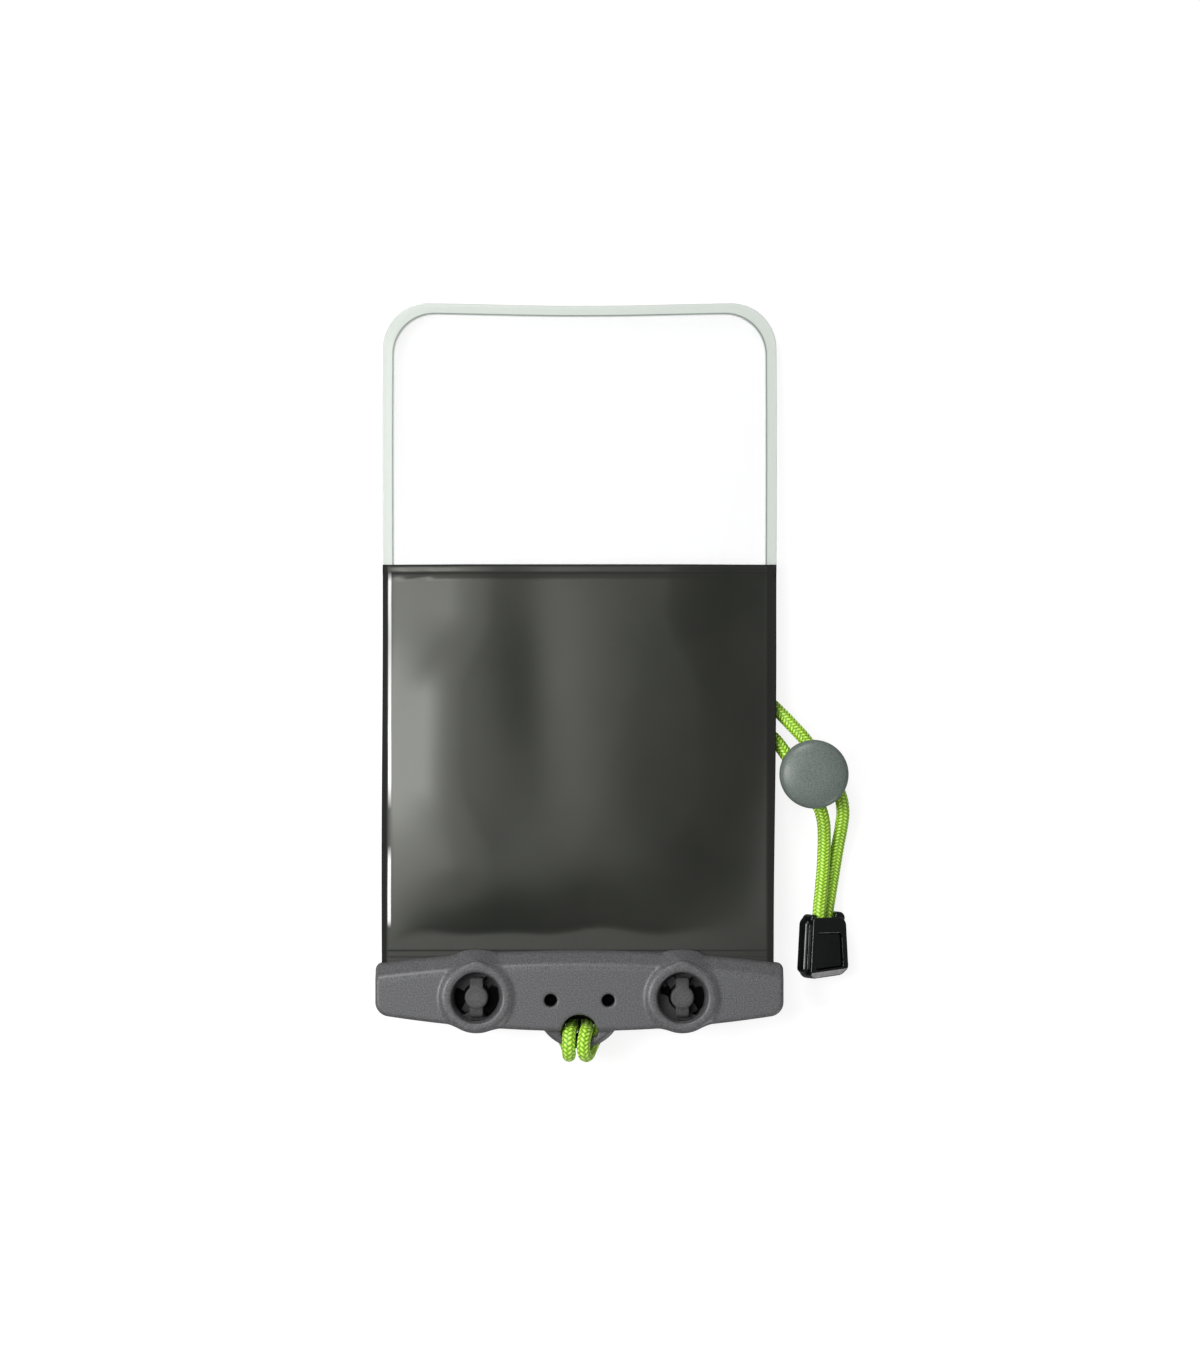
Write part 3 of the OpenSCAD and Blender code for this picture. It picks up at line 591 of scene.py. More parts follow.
# The height is stored as yarn, from which the cord's colour paints its shade and highlights.
marked = add(
    braid,
    "GeometryNodeStoreNamedAttribute",
    {"Geometry": raised.outputs[0], "Name": "yarn", "Value": crown.outputs[0]},
)
soft = add(braid, "GeometryNodeSetShadeSmooth", {"Geometry": marked.outputs[0]})
real = add(braid, "GeometryNodeRealizeInstances", {"Geometry": soft.outputs[0]})
dyed = add(braid, "GeometryNodeSetMaterial", {"Geometry": real.outputs[0], "Material": cord_yarn})
add(braid, "NodeGroupOutput", {"Cord": dyed.outputs[0]})


for name, node, points in (
    ("cord_strand_a", "lanyard_cord_a", ROUTE_A),
    ("cord_strand_b", "lanyard_cord_b", ROUTE_B),
):
    path = smooth_path(points, 0.0005)
    path[:, 2] = np.maximum(path[:, 2], CORD_LOW)
    hitch = np.clip((path[:, 2] - HITCH_Z) / HITCH_RISE, 0, 1)
    line = bpy.data.curves.new(name + "_route", "CURVE")
    line.dimensions = "3D"
    spline = line.splines.new("POLY")
    spline.points.add(len(path) - 1)
    spline.points.foreach_set("co", np.hstack([path, np.ones((len(path), 1))]).ravel())
    spline.points.foreach_set("radius", 1 + HITCH_SWELL * hitch)
    route_object = bpy.data.objects.new(name + "_route", line)
    scene.collection.objects.link(route_object)
    route_object.modifiers.new("braid", "NODES").node_group = braid
    strand = evaluated_mesh(route_object, name)
    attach(strand, "case")
    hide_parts(node)


# Pouch
# Two sheets of soft polyurethane film, 0.5 mm thick, are welded together round three sides. The front is
# clear. The back is clear at the far end and dark grey below a cross weld, and both bulge over the pocket.
FAR_Y = 105.6
BEND_Y = -77.8
TAIL_Y = -82.6
HALF_W = 56.0
SPLIT_Z = 11.3
FILM_T = 0.5
FRONT_BULGE = 3.8
BACK_BULGE = 4.8
WELD_W = 2.7
MARGIN_W = 12.3
POCKET_IN = WELD_W + MARGIN_W
WELD_SLOPE = (SPLIT_Z - FILM_T - FRONT_BULGE) / (FAR_Y - POCKET_IN - BEND_Y)
LAP = (28.4, 31.1)
CORNER_R = 13
POCKET_CORNER_R = 7
MOUTH_CORNER_R = 0.8
POCKET_MOUTH_R = 5.0
SIDE_SLOPE_W = 14.8
SIDE_SLOPE_MORE = 9
WAIST_Y = -18
MOUTH_Y = -70.5


def corner(cx, cy, r, start, n):
    """A quarter turn about a point, from an angle in degrees."""
    angle = np.radians(start + np.linspace(0, 90, n))
    return np.stack([cx + r * np.cos(angle), cy + r * np.sin(angle)], 1)


def pouch_ring(side, mouth):
    """One line round the pouch, moved in by side on its sides and far end and by mouth at the clip."""
    w = HALF_W - side
    far = FAR_Y - side
    low = TAIL_Y + mouth
    share = min(1, side / POCKET_IN)
    rf = CORNER_R + (POCKET_CORNER_R - CORNER_R) * share
    rm = MOUTH_CORNER_R + (POCKET_MOUTH_R - MOUTH_CORNER_R) * share
    parts = [
        corner(w - rm, low + rm, rm, -90, 8),
        corner(w - rf, far - rf, rf, 0, 18),
        corner(rf - w, far - rf, rf, 90, 18),
        corner(rm - w, low + rm, rm, 180, 8),
    ]
    out = []
    for part, following, count in zip(parts, parts[1:] + parts[:1], (150, 75, 150, 90)):
        out.append(part)
        t = np.linspace(0, 1, count + 2)[1:-1, None]
        out.append(part[-1] * (1 - t) + following[0] * t)
    return np.vstack(out)


def ease(t):
    """A smooth step from 0 to 1."""
    t = np.clip(t, 0, 1)
    return t * t * (3 - 2 * t)


def rise(d, width, foot, crest):
    """From 0 to 1 over a straight slope of that width, rounded at its foot and at its crest."""

    def bend(d, r):
        return np.where(d > r, d, np.maximum(d + r, 0) ** 2 / (4 * r))

    return (bend(d, foot) - bend(d - width, crest)) / width


def lift(x, y):
    """The share of its full height the film has: none at the welds and the mouth, all over the pocket."""
    from_weld = -meet(np.abs(x) - HALF_W + 2, y - FAR_Y + 2.2, 12)
    slope_w = SIDE_SLOPE_W + SIDE_SLOPE_MORE * ease((np.abs(y - WAIST_Y) - 12) / 24)
    sides = rise(from_weld, slope_w, 1.2, 6.5)
    left_fall = 4 * (np.clip(-x - 26, 0, 28) / 28) ** 2
    ripple = 0.7 * np.sin(x / 8 + 1) + 0.5 * np.sin(x / 4.3)
    past = y - (MOUTH_Y - left_fall + ripple)
    mouth = 1 - np.exp(-np.maximum(past + 3, 0) ** 2 / (9 * (np.maximum(past, 0) + 6)))
    return sides * mouth


def hill(x, y, cx, cy, wx, wy, turn=0.0):
    """A soft hump of height 1 about a point, longer one way than the other, turned by an angle in degrees."""
    a = math.radians(turn)
    u = (x - cx) * math.cos(a) + (y - cy) * math.sin(a)
    v = (y - cy) * math.cos(a) - (x - cx) * math.sin(a)
    return np.exp(-((u / wx) ** 2) - (v / wy) ** 2)


def back_waves(x, y):
    """The shallow waves of the back film over the pocket, and its fall to the right, in mm."""
    return (
        -0.6 * hill(x, y, -11, 0, 9, 36, 4)
        + 0.28 * hill(x, y, -28, -8, 11, 42)
        + 0.3 * hill(x, y, 9, 2, 13, 50)
        - 0.0018 * np.maximum(x - 14 - 0.3 * y, 0) ** 2
        - 0.5 * hill(x, y, -35, -62, 9, 7, 20)
        + 0.35 * hill(x, y, 24, -52, 16, 9, 12)
        - 0.25 * hill(x, y, -24, -50, 12, 10, 30)
        + 0.1 * np.sin(y / 8.5 + x / 31) * np.sin(x / 17)
    )


def front_waves(x, y):
    """The shallow waves of the front film, in mm."""
    return 0.25 * np.sin(x / 15 + 0.7) * np.sin(y / 23) + 0.15 * np.sin((x + y) / 11)


def film_mesh(name, side, bulge, waves):
    """A closed film, 0.5 mm thick, with its weld face at split height and its bulge on one side of it."""
    rings, inset = [], []
    for s in np.linspace(0, WELD_W, 10, endpoint=False):
        rings.append(pouch_ring(s, s / WELD_W * (BEND_Y - TAIL_Y)))
        inset.append(s)
    for t in np.linspace(0, 1, 24):
        rings.append(pouch_ring(WELD_W + MARGIN_W * t, BEND_Y - TAIL_Y + MARGIN_W * t))
        inset.append(WELD_W + MARGIN_W * t)
    last = rings[-1]
    half = np.abs(last[:, 0]).max()
    spine_y = np.clip(last[:, 1], last[:, 1].min() + half, last[:, 1].max() - half)
    spine = np.stack([np.zeros(len(last)), spine_y], 1)
    for t in np.linspace(0, 1, 44)[1:]:
        rings.append(last * (1 - t) + spine * t)
        inset.append(POCKET_IN + half * t)
    rows, n = len(rings), len(last)
    plan = np.vstack(rings)
    inset = np.repeat(inset, n)
    x, y = plan[:, 0], plan[:, 1]
    near_rim = ease(1 - inset / 20)
    edge_x = x - np.sign(x) * 0.1 * (1 + np.sin(y / 19 + 1)) * near_rim
    edge_x -= (x > 0) * ease((10 - y) / 80) * near_rim
    edge_y = y - 0.4 * (1 + np.cos(x / 17)) * near_rim * (y > 60)
    weld = SPLIT_Z - np.maximum(0, y - BEND_Y) * WELD_SLOPE
    middle = weld + side * lift(x, y) * (bulge + waves(x, y))
    outer = np.stack([edge_x, edge_y, middle + side * FILM_T], 1)
    inner = np.stack([edge_x, edge_y, middle], 1)
    verts = np.vstack([outer, inner]) * 0.001
    k, i = np.meshgrid(np.arange(rows - 1), np.arange(n), indexing="ij")
    a, b = k * n + i, k * n + (i + 1) % n
    c, d = a + n, b + n
    quads = np.stack([a, b, d, c], -1).reshape(-1, 4)
    first = np.arange(n)
    second = (first + 1) % n
    rim = np.stack([first, first + rows * n, second + rows * n, second], 1)
    faces = np.vstack([quads, quads[:, ::-1] + rows * n, rim])
    mesh = bpy.data.meshes.new(name)
    mesh.from_pydata(verts.tolist(), [], faces.tolist())
    mark = mesh.attributes.new("inset", "FLOAT", "POINT")
    mark.data.foreach_set("value", np.concatenate([inset, inset]))
    form = bmesh.new()
    form.from_mesh(mesh)
    bmesh.ops.remove_doubles(form, verts=form.verts, dist=1e-6)
    bmesh.ops.recalc_face_normals(form, faces=form.faces)
    form.to_mesh(mesh)
    form.free()
    mesh.shade_smooth()
    film = bpy.data.objects.new(name, mesh)
    scene.collection.objects.link(film)
    return film


def cut_film(film, y, keep_far):
    """Keeps the part of a film on one side of a line across the pouch, and closes the cut."""
    form = bmesh.new()
    form.from_mesh(film.data)
    cut = bmesh.ops.bisect_plane(
        form,
        geom=form.verts[:] + form.edges[:] + form.faces[:],
        plane_co=(0, y * 0.001, 0),
        plane_no=(0, 1, 0),
        clear_inner=keep_far,
        clear_outer=not keep_far,
    )
    edges = [e for e in cut["geom_cut"] if isinstance(e, bmesh.types.BMEdge)]
    bmesh.ops.holes_fill(form, edges=edges)
    bmesh.ops.recalc_face_normals(form, faces=form.faces)
    form.to_mesh(film.data)
    form.free()


# Clear polyurethane film: faint and glossy over the pocket, milky green where two layers are welded, with a
# thin dark line where the weld ends. At grazing angles its near-white colour is made more opaque, as a
# painted reflection.
clear_film = bpy.data.materials.new("clear_polyurethane_film")
clear_film.use_nodes = True
tree = clear_film.node_tree
tree.nodes.clear()
inset = add(tree, "ShaderNodeAttribute", attribute_name="inset")
zone = add(tree, "ShaderNodeMapRange", {"Value": inset.outputs["Fac"], "From Max": 6.0})
tint = add(tree, "ShaderNodeValToRGB", {"Fac": zone.outputs["Result"]})
tint.color_ramp.elements[0].color = linear("#E4EBE4")
tint.color_ramp.elements[0].position = 0.43
tint.color_ramp.elements[1].color = linear("#F2F5F3")
tint.color_ramp.elements[1].position = 0.56
mark = tint.color_ramp.elements.new(0.475)
mark.color = linear("#7C8A80")
cover = add(tree, "ShaderNodeValToRGB", {"Fac": zone.outputs["Result"]})
cover.color_ramp.elements[0].color = (0.62, 0.62, 0.62, 1)
cover.color_ramp.elements[0].position = 0.43
cover.color_ramp.elements[1].color = (0.07, 0.07, 0.07, 1)
cover.color_ramp.elements[1].position = 0.56
mark = cover.color_ramp.elements.new(0.475)
mark.color = (0.7, 0.7, 0.7, 1)
# Painted reflection: the near-white film is made more opaque towards grazing angles.
graze = add(tree, "ShaderNodeLayerWeight", {"Blend": 0.15})
cover_all = add(
    tree, "ShaderNodeMix", {"Factor": graze.outputs["Fresnel"], "A": cover.outputs["Color"], "B": 0.75}
)
skin = add(
    tree,
    "ShaderNodeBsdfPrincipled",
    {
        "Base Color": tint.outputs["Color"],
        "Roughness": 0.12,
        "IOR": 1.5,
        "Alpha": cover_all.outputs["Result"],
    },
)
add(tree, "ShaderNodeOutputMaterial", {"Surface": skin.outputs[0]})

# Grey polyurethane film with a satin calendered face, which shows broad soft lights on its waves. Painted
# shade makes its right border near black, and its left border and thin lines at the cross weld and along the
# clip's edge are painted near black too. A narrow strip along its left edge is painted white, standing in for
# the bright table seen through clear film there. The first two masks are the white strip's, across and along
# the case, and the other two the dark borders' and the dark lines'.
PANEL_LEFT = -0.056
PANEL_LOW = -0.083
PANEL_FAR = 0.032
grey_film = bpy.data.materials.new("grey_polyurethane_film")
grey_film.use_nodes = True
tree = grey_film.node_tree
tree.nodes.clear()
place = add(tree, "ShaderNodeTexCoord")
sway = add(tree, "ShaderNodeTexNoise", {"Vector": place.outputs["Object"], "Scale": 60.0, "Detail": 1.0})
sway = add(tree, "ShaderNodeMath", {0: sway.outputs["Fac"], 1: 0.0002, 2: -0.0001}, operation="MULTIPLY_ADD")
at = add(tree, "ShaderNodeVectorMath", {0: place.outputs["Object"], 1: sway.outputs[0]}, operation="ADD")
at = add(tree, "ShaderNodeSeparateXYZ", {0: at.outputs[0]})
masks = []
for axis, low, high, stops in (
    ("X", PANEL_LEFT, -0.052, ((0.42, 0), (0.47, 1), (0.62, 1), (0.7, 0))),
    ("Y", PANEL_LOW, PANEL_FAR, (
        (0.1, 0), (0.12, 1), (0.26, 1), (0.3, 0), (0.39, 0), (0.46, 1), (0.8, 0.55), (0.95, 0.8), (0.975, 0),
    )),
    ("X", PANEL_LEFT, 0.0565, ((0.0135, 1), (0.0165, 0), (0.964, 0), (0.97, 1))),
    ("Y", PANEL_LOW, PANEL_FAR, (
        (0.024, 0), (0.0255, 0.8), (0.027, 0.8), (0.0285, 0), (0.04, 0), (0.0415, 0.9), (0.043, 0.9),
        (0.045, 0), (0.966, 0), (0.969, 0.85), (0.9735, 0.85), (0.976, 0), (0.986, 0), (0.9885, 0.9),
    )),
):
    span = add(tree, "ShaderNodeMapRange", {"Value": at.outputs[axis], "From Min": low, "From Max": high})
    mask = add(tree, "ShaderNodeValToRGB", {"Fac": span.outputs["Result"]})
    for stop, (position, value) in enumerate(stops):
        if stop > 1:
            mask.color_ramp.elements.new(position)
        mask.color_ramp.elements[stop].position = position
        mask.color_ramp.elements[stop].color = (value, value, value, 1)
    masks.append(mask.outputs["Color"])
# The white strip, painted to stand in for the bright table seen through clear film.
white_strip = add(tree, "ShaderNodeMath", {0: masks[0], 1: masks[1]}, operation="MULTIPLY")
# Painted near black: shade on the right border, and the left border and the thin lines.
painted_dark = add(tree, "ShaderNodeMath", {0: masks[2], 1: masks[3]}, operation="MAXIMUM")
cloud = add(tree, "ShaderNodeTexNoise", {"Vector": place.outputs["Object"], "Scale": 35.0, "Detail": 3.0})
tone = add(tree, "ShaderNodeValToRGB", {"Fac": cloud.outputs["Fac"]})
tone.color_ramp.elements[0].color = linear("#20221E")
tone.color_ramp.elements[0].position = 0.3
tone.color_ramp.elements[1].color = linear("#2A2B27")
tone.color_ramp.elements[1].position = 0.7
tone = add(
    tree,
    "ShaderNodeMix",
    {"Factor": painted_dark.outputs[0], "A": tone.outputs["Color"], "B": linear("#050605")},
    data_type="RGBA",
)
tone = add(
    tree,
    "ShaderNodeMix",
    {"Factor": white_strip.outputs[0], "A": tone.outputs["Result"], "B": (1.0, 1.0, 1.0, 1.0)},
    data_type="RGBA",
)
pores = add(tree, "ShaderNodeTexNoise", {"Vector": place.outputs["Object"], "Scale": 1500.0, "Detail": 2.0})
relief = add(tree, "ShaderNodeBump", {"Height": pores.outputs["Fac"], "Strength": 0.05, "Distance": 0.0001})
matt = add(tree, "ShaderNodeMapRange", {"Value": painted_dark.outputs[0], "To Min": 0.33, "To Max": 0.8})
skin = add(
    tree,
    "ShaderNodeBsdfPrincipled",
    {
        "Base Color": tone.outputs["Result"],
        "Roughness": matt.outputs["Result"],
        "IOR": 1.5,
        "Specular Tint": (0.96, 0.975, 0.91, 1.0),
        "Normal": relief.outputs[0],
    },
)
add(tree, "ShaderNodeOutputMaterial", {"Surface": skin.outputs[0]})

front = film_mesh("front_film_sheet", -1, FRONT_BULGE, front_waves)
window = film_mesh("back_window_sheet", 1, BACK_BULGE, back_waves)
cut_film(window, LAP[0], True)
panel = film_mesh("back_panel_sheet", 1, BACK_BULGE, back_waves)
cut_film(panel, LAP[1], False)
for v in panel.data.vertices:
    v.co.z += FILM_T * 0.001 * float(ease((v.co.y * 1000 - LAP[0] + 0.5) / 0.5))
for film, node, finish, slot in (
    (front, "front_film", clear_film, "clear_film"),
    (window, "back_window", clear_film, "clear_film"),
    (panel, "back_panel", grey_film, "grey_film"),
):
    film.data.materials.append(finish)
    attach(film, "case")
    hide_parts(node)


# Clip, back half
# Glass-filled nylon, moulded in one piece: a bowed bar with a sloping upper flank, a turret with a deep well
# at each side and the lanyard eye below it. It is pressed on to the front half, and the two hold the tail of
# the film between them.
CLIP_TOP = -77.9
CLIP_LOW = -100.5
CLIP_HALF_W = 57.5
FACE_Z = 17.4
TURRET_TOP = 18.4
TURRET_X = 29.0
TURRET_Y = -91.0
EYE_Y = -93.2
EYE_H = 2.8
EYE_PLATE_R = 11.6
EYE_BAR_R = 11.1
EYE_BAR_W = 2.6
EYE_HOLE_Y = -100.9
EYE_HOLE_R = 5.1
HOLE_X = 8.1
HOLE_Y = -91.8
HOLE_R = 1.8
WELL_R = 7.15
WELL_STEP = 4.6
WELL_LOW_R = 6.75
WELL_FLOOR = 2.9
RUN_UP_R = 6.3
RUN_UP_DEPTH = 3.2
BACK_KEYHOLE = 35


def clip_bar(x, y, h, thick):
    """The bar of one half, where h is the height above the split face."""
    bow = (x / CLIP_HALF_W) ** 2
    upper = y - (CLIP_TOP - 3.8 * bow)
    lower = CLIP_LOW + 4.7 * bow - y
    plan = meet(meet(np.abs(x) - CLIP_HALF_W, lower, 3.4), upper, 1.5)
    flank = ((upper + 4.1) * 3.8 + (h - thick) * 4.1) / math.hypot(3.8, 4.1)
    bar = meet(meet(plan, h - thick, 1.1), flank, 0.9)
    return meet(bar, -h, 0.15)


def turret_foot(x, y, h, top, edge):
    """The foot of both turrets: a cone set towards the pouch, with a broad shoulder on that side."""
    t = np.clip((h - 2) / 4.1, 0, 1)
    u = TURRET_X - np.abs(x)
    v = y - TURRET_Y
    cone = np.hypot(u, v - 1.7 * (1 - t)) - (11.4 - 1.3 * t)
    shoulder = np.hypot(np.maximum(np.abs(u) - 3.2 * (1 - t), 0), v - 10.3 + 2.4 * t) - 2.1
    foot = join(cone, shoulder, 1.6)
    return meet(meet(foot, h - top, edge), -h, 0.15)


def arc(turn, middle, half):
    """One between two directions in degrees and zero outside them, with a soft edge."""
    return np.clip((half + 2 - np.abs(np.mod(turn - middle + 180, 360) - 180)) / 4, 0, 1)


def keyhole(u, v, turn, half_l, half_w, shaft_r, edge):
    """The way through a turret for a lever's nose, turned by an angle in degrees, and for its shaft."""
    a = math.radians(turn)
    along = u * math.cos(a) + v * math.sin(a)
    across = v * math.cos(a) - u * math.sin(a)
    return np.minimum(meet(np.abs(along) - half_l, np.abs(across) - half_w, edge), np.hypot(u, v) - shaft_r)


def tail_room(x, y, h):
    """The room that one half of the clip leaves for its layer of the film's tail."""
    return np.maximum(np.maximum(np.abs(x) - HALF_W, TAIL_Y - y), h - FILM_T)


def clip_back_form(x, y, z):
    """The back half: bar, turrets, eye, blind holes, and the wells with their keyholes and run-ups."""
    h = z - SPLIT_Z
    u = TURRET_X - np.abs(x)
    v = y - TURRET_Y
    r = np.hypot(u, v)
    body = join(clip_bar(x, y, h, FACE_Z - SPLIT_Z), turret_foot(x, y, h, TURRET_TOP - SPLIT_Z, 1.3), 1.2)
    from_eye = np.hypot(x, y - EYE_Y)
    eye_level = np.abs(h - EYE_H / 2) - EYE_H / 2
    plate = meet(meet(from_eye - EYE_PLATE_R, eye_level, 0.4), y + 90, 0.4)
    body = join(body, plate, 0.6)
    body = meet(body, EYE_HOLE_R - np.hypot(x, y - EYE_HOLE_Y), 0.5)
    bar = meet(np.abs(from_eye - EYE_BAR_R) - EYE_BAR_W / 2, eye_level, 1.15)
    body = join(body, np.maximum(bar, y - EYE_Y), 0.4)
    body = meet(body, HOLE_R - np.hypot(np.abs(x) - HOLE_X, y - HOLE_Y), 0.45)
    well = np.minimum(np.maximum(r - WELL_R, WELL_STEP - h), np.maximum(r - WELL_LOW_R, WELL_FLOOR - h))
    body = meet(body, -well, 0.8)
    way = keyhole(u, v, BACK_KEYHOLE, 6.3, 2.2, 3.8, 0.9)
    turn = np.degrees(np.arctan2(v, -np.sign(x) * u))
    left_deep = arc(turn, 190, 33) + arc(turn, 0, 64)
    right_deep = arc(turn, 140, 30) + arc(turn, 5, 58)
    deep = np.clip(np.where(x < 0, left_deep, right_deep), 0, 1)
    run_up = np.maximum(r - RUN_UP_R, WELL_FLOOR - RUN_UP_DEPTH * deep - h)
    body = meet(body, -np.minimum(way, run_up), 0.15)
    return np.maximum(body, -tail_room(x, y, h))


# Grey nylon with a fine spark-eroded grain. Shade is painted into the wells, the hitch's pocket and the parts
# of the
# levers that stand in the wells: where the deep attribute is set, the colour darkens towards near black.
grey_nylon = bpy.data.materials.new("grained_grey_nylon")
grey_nylon.use_nodes = True
tree = grey_nylon.node_tree
tree.nodes.clear()
place = add(tree, "ShaderNodeTexCoord")
grain = add(
    tree,
    "ShaderNodeTexNoise",
    {"Vector": place.outputs["Object"], "Scale": 2700.0, "Detail": 3.0, "Roughness": 0.65},
)
tone = add(tree, "ShaderNodeValToRGB", {"Fac": grain.outputs["Fac"]})
tone.color_ramp.elements[0].color = linear("#414142")
tone.color_ramp.elements[0].position = 0.35
tone.color_ramp.elements[1].color = linear("#69696B")
tone.color_ramp.elements[1].position = 0.65
# deep is painted shade, from 0 to 1, which darkens the grain's colour to near black.
deep = add(tree, "ShaderNodeAttribute", attribute_name="deep")
tone = add(
    tree,
    "ShaderNodeMix",
    {"Factor": deep.outputs["Fac"], "A": tone.outputs["Color"], "B": linear("#0A0A0A")},
    data_type="RGBA",
)
relief = add(
    tree, "ShaderNodeBump", {"Height": grain.outputs["Fac"], "Strength": 0.18, "Distance": 0.0001}
)
matt = add(tree, "ShaderNodeMapRange", {"Value": deep.outputs["Fac"], "To Min": 0.37, "To Max": 0.85})
skin = add(
    tree,
    "ShaderNodeBsdfPrincipled",
    {
        "Base Color": tone.outputs["Result"],
        "Roughness": matt.outputs["Result"],
        "IOR": 1.5,
        "Normal": relief.outputs[0],
    },
)
add(tree, "ShaderNodeOutputMaterial", {"Surface": skin.outputs[0]})


def paint_deep_shade(piece, rule):
    """Stores how much painted shade each point of a piece gets, from 0 to 1, by a rule of its place in mm."""
    co = np.empty(len(piece.data.vertices) * 3)
    piece.data.vertices.foreach_get("co", co)
    mark = piece.data.attributes.new("deep", "FLOAT", "POINT")
    mark.data.foreach_set("value", np.clip(rule(*(co.reshape(-1, 3).T * 1000)), 0, 1))


def from_turret(x, y):
    """The distance, seen from above, from the middle of the nearer turret."""
    return np.hypot(np.abs(x) - TURRET_X, y - TURRET_Y)


low = (-CLIP_HALF_W, -105.6, SPLIT_Z)
high = (CLIP_HALF_W, CLIP_TOP, TURRET_TOP)
clip_back = moulded("clip_back_half", low, high, 0.25, clip_back_form, keep=0.55)
# Painted shade in the wells, darker the deeper a point lies below the turret's top.
paint_deep_shade(clip_back, lambda x, y, z: (from_turret(x, y) < WELL_R + 0.15) * (TURRET_TOP - 0.2 - z) / 5.5)
clip_back.data.materials.append(grey_nylon)
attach(clip_back, "case")
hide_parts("clip_back")


# Clip, front half
# The same nylon. It carries both levers, takes the weld of the film, and has a thin tongue below the lanyard
# eye, with a pocket for the hitch and a slot that the two strands leave through. The small holes end in it.
UNDERSIDE_Z = 5
TONGUE_R = 11.8
TONGUE_T = 1.4
HITCH_POCKET_Y = -101.5
HITCH_POCKET_R = 9.2
HITCH_POCKET_FLOOR = 6.4
STRAND_WAY = ((-100.3, 10), (-100.2, 7), (-99.6, 4.8), (-97.6, 3))
STRAND_WAY_X = 2.15
STRAND_WAY_R = 1.95
DIVIDER_W = 0.8
NOSE_RECESS_R = 6.4
NOSE_RECESS_Z = 6.2
HOLE_END_Z = 7.0
FRONT_KEYHOLE = 60


def clip_front_form(x, y, z):
    """The front half: bar, feet of the turrets, tongue, hitch's pocket, strands' slot, holes and keyholes."""
    h = SPLIT_Z - z
    u = TURRET_X - np.abs(x)
    v = y - TURRET_Y
    thick = SPLIT_Z - UNDERSIDE_Z
    body = join(clip_bar(x, y, h, thick), turret_foot(x, y, h, thick, 0.8), 1.2)
    from_eye = np.hypot(x, y - EYE_Y)
    tongue = meet(from_eye - TONGUE_R, np.abs(z - UNDERSIDE_Z - TONGUE_T / 2) - TONGUE_T / 2, 0.4)
    body = join(body, meet(tongue, y + 88, 0.4), 0.5)
    pocket = np.maximum(np.hypot(x, y - HITCH_POCKET_Y) - HITCH_POCKET_R, HITCH_POCKET_FLOOR - z)
    body = meet(body, -pocket, 0.3)
    run = np.minimum.reduce([from_line(y, z, a, b) for a, b in zip(STRAND_WAY, STRAND_WAY[1:])])
    slot = np.hypot(np.maximum(np.abs(x) - STRAND_WAY_X, 0), run) - STRAND_WAY_R
    body = meet(body, -np.maximum(slot, DIVIDER_W / 2 - np.abs(x)), 0.15)
    body = meet(body, -np.maximum(np.hypot(u, v) - NOSE_RECESS_R, NOSE_RECESS_Z - z), 0.2)
    holes = np.maximum(np.hypot(np.abs(x) - HOLE_X, y - HOLE_Y) - HOLE_R, HOLE_END_Z - z)
    body = np.maximum(body, -holes)
    body = meet(body, -keyhole(u, v, FRONT_KEYHOLE, 6.05, 2.0, 3.38, 0.5), 0.2)
    return np.maximum(body, -tail_room(x, y, h))


low = (-CLIP_HALF_W, -105, UNDERSIDE_Z)
high = (CLIP_HALF_W, CLIP_TOP, SPLIT_Z)
clip_front = moulded("clip_front_half", low, high, 0.25, clip_front_form, keep=0.5)
# Painted shade: the front half's middle, round the hitch's pocket, the strands' slot and the keyholes, is
# darkened to near black.
paint_deep_shade(clip_front, lambda x, y, z: (z > 5.3) * (z < 11.2) * (np.abs(y + 97) < 8.5) * (np.abs(x) < 37))
clip_front.data.materials.append(grey_nylon)
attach(clip_front, "case")
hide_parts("clip_front")


# Levers
# Two flat thumb levers under the clip, moulded in nylon with their shaft and nose. The nose goes in through
# the keyhole, climbs the run-up of its turret as the lever turns, and draws the halves of the clip together.
LEVER_REACH = 23.8
ARM_R = 9.2
TIP_R = 4.2
ARM_TOP = 4.7
RIDGES = 4
RIDGE_STEP = 2.4
COLLAR_R = 6.4
SHAFT_R = 3.3
SHAFT_FOOT = 3.7
LEVER_TOP = 17.12
NOSE_Z = 15.57
NOSE_HALF_L = 5.75
NOSE_HALF_W = 1.9
NOSE_HALF_H = 1.25


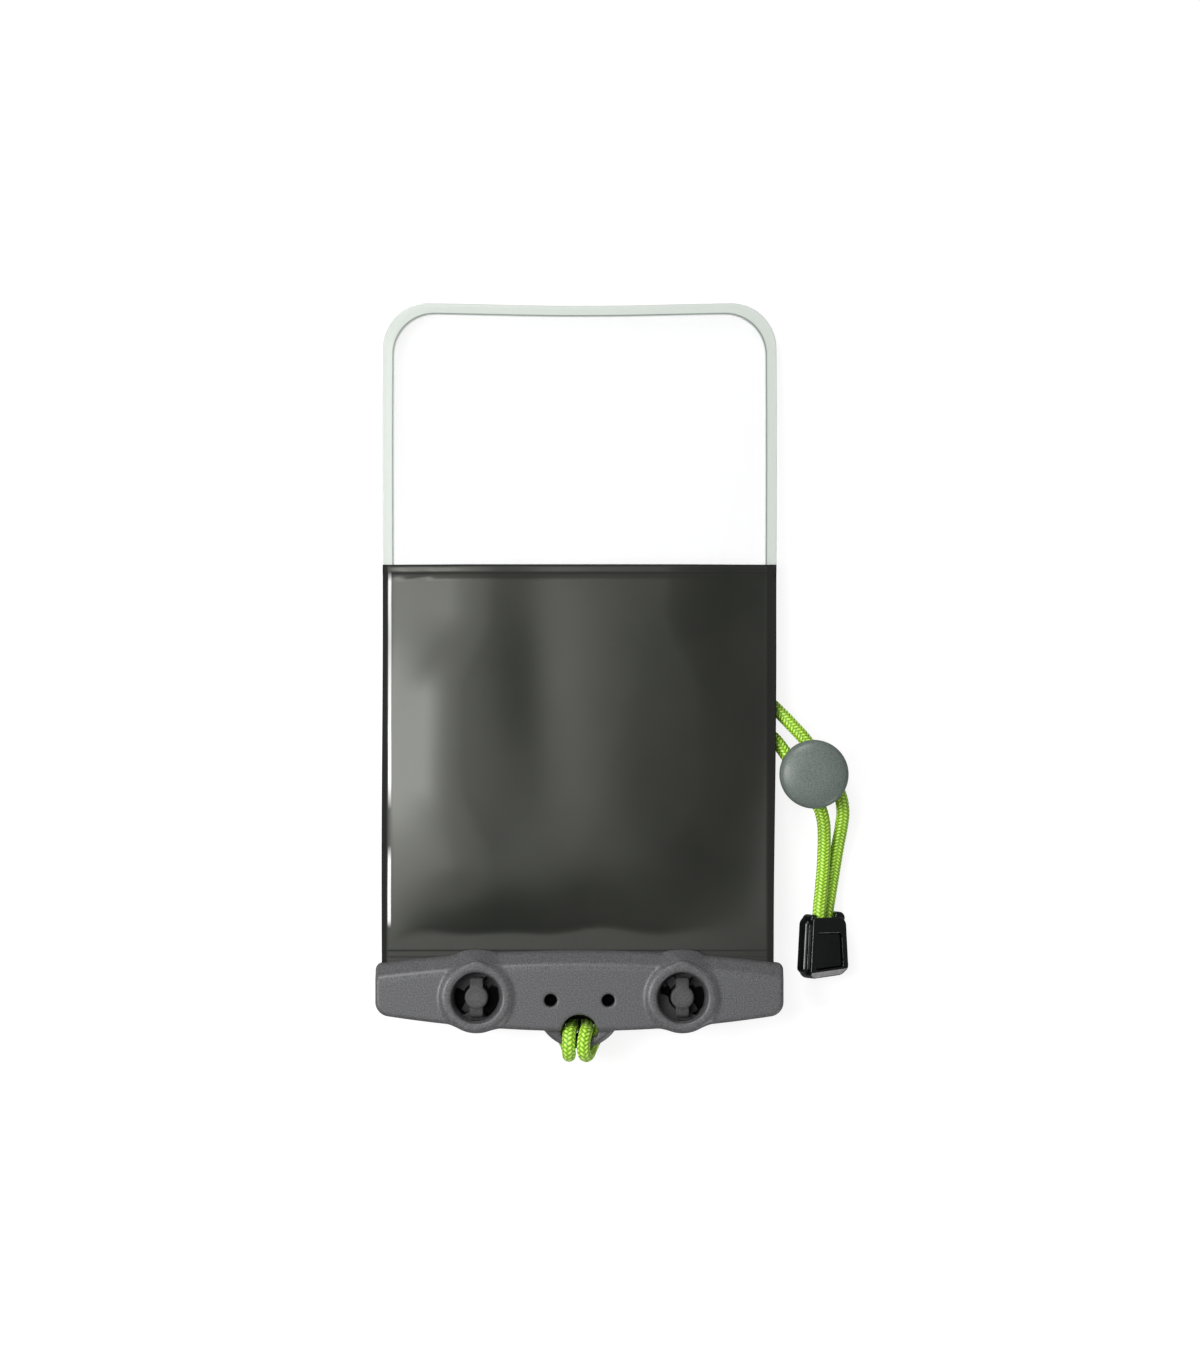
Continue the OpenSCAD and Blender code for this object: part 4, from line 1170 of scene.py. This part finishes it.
def lever_form(side):
    """The field of one lever, whose arm points out from the middle of the clip on that side."""

    def form(x, y, z):
        u = side * x - TURRET_X
        v = y - TURRET_Y
        r = np.hypot(u, v)
        taper = (ARM_R - TIP_R) / LEVER_REACH
        lean = math.sqrt(1 - taper**2)
        k = u * lean - np.abs(v) * taper
        flank = u * taper + np.abs(v) * lean - ARM_R
        tip = np.hypot(u - LEVER_REACH, v) - TIP_R
        outline = np.where(k < 0, r - ARM_R, np.where(k > lean * LEVER_REACH, tip, flank))
        arm = meet(meet(outline, z - ARM_TOP, 0.4), -z, 1.0)
        dish = np.sqrt((u - 18.5) ** 2 + (v * 1.5) ** 2 + ((z + 4.2) * 1.6) ** 2) - 7.6
        arm = meet(arm, -dish, 0.3)
        for i in range(RIDGES):
            ridge = np.maximum(np.abs(u - LEVER_REACH + 7.0 - RIDGE_STEP * i) - 0.45, np.abs(v) - 2.9)
            arm = np.minimum(arm, meet(ridge, np.abs(z - 1.0) - 1.0, 0.35))
        collar = meet(np.abs(r - COLLAR_R) - 0.5, z - 0.6, 0.2)
        arm = meet(arm, -collar, 0.2)
        shaft_level = np.abs(z - (LEVER_TOP + SHAFT_FOOT) / 2) - (LEVER_TOP - SHAFT_FOOT) / 2
        shaft = meet(r - SHAFT_R, shaft_level, 0.55)
        gate = np.sqrt((u * side + 0.5) ** 2 + (v - 0.9) ** 2 + (z - 17.6) ** 2) - 0.6
        shaft = np.maximum(shaft, -gate)
        nose = meet(np.abs(u) - NOSE_HALF_W, np.abs(z - NOSE_Z) - NOSE_HALF_H, 0.3)
        nose = meet(nose, np.abs(v) - NOSE_HALF_L, 0.9)
        return np.minimum(arm, join(shaft, nose, 0.25))

    return form


for side, name, node, body in (
    (-1, "left_lever", "lever_left", "left_lever"),
    (1, "right_lever", "lever_right", "right_lever"),
):
    left, right = sorted((side * (TURRET_X - ARM_R), side * (TURRET_X + LEVER_REACH + TIP_R)))
    low = (left, TURRET_Y - ARM_R, 0)
    high = (right, TURRET_Y + ARM_R, LEVER_TOP)
    lever = moulded(name, low, high, 0.25, lever_form(side), keep=0.6)
    # Painted shade on the shaft and nose, which stand in the wells, darker towards the nose's ends.
    paint_deep_shade(lever, lambda x, y, z: (z > 5) * (0.45 + 0.1 * (from_turret(x, y) - 2.5)))
    lever.data.materials.append(grey_nylon)
    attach(lever, body)
    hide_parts(node)
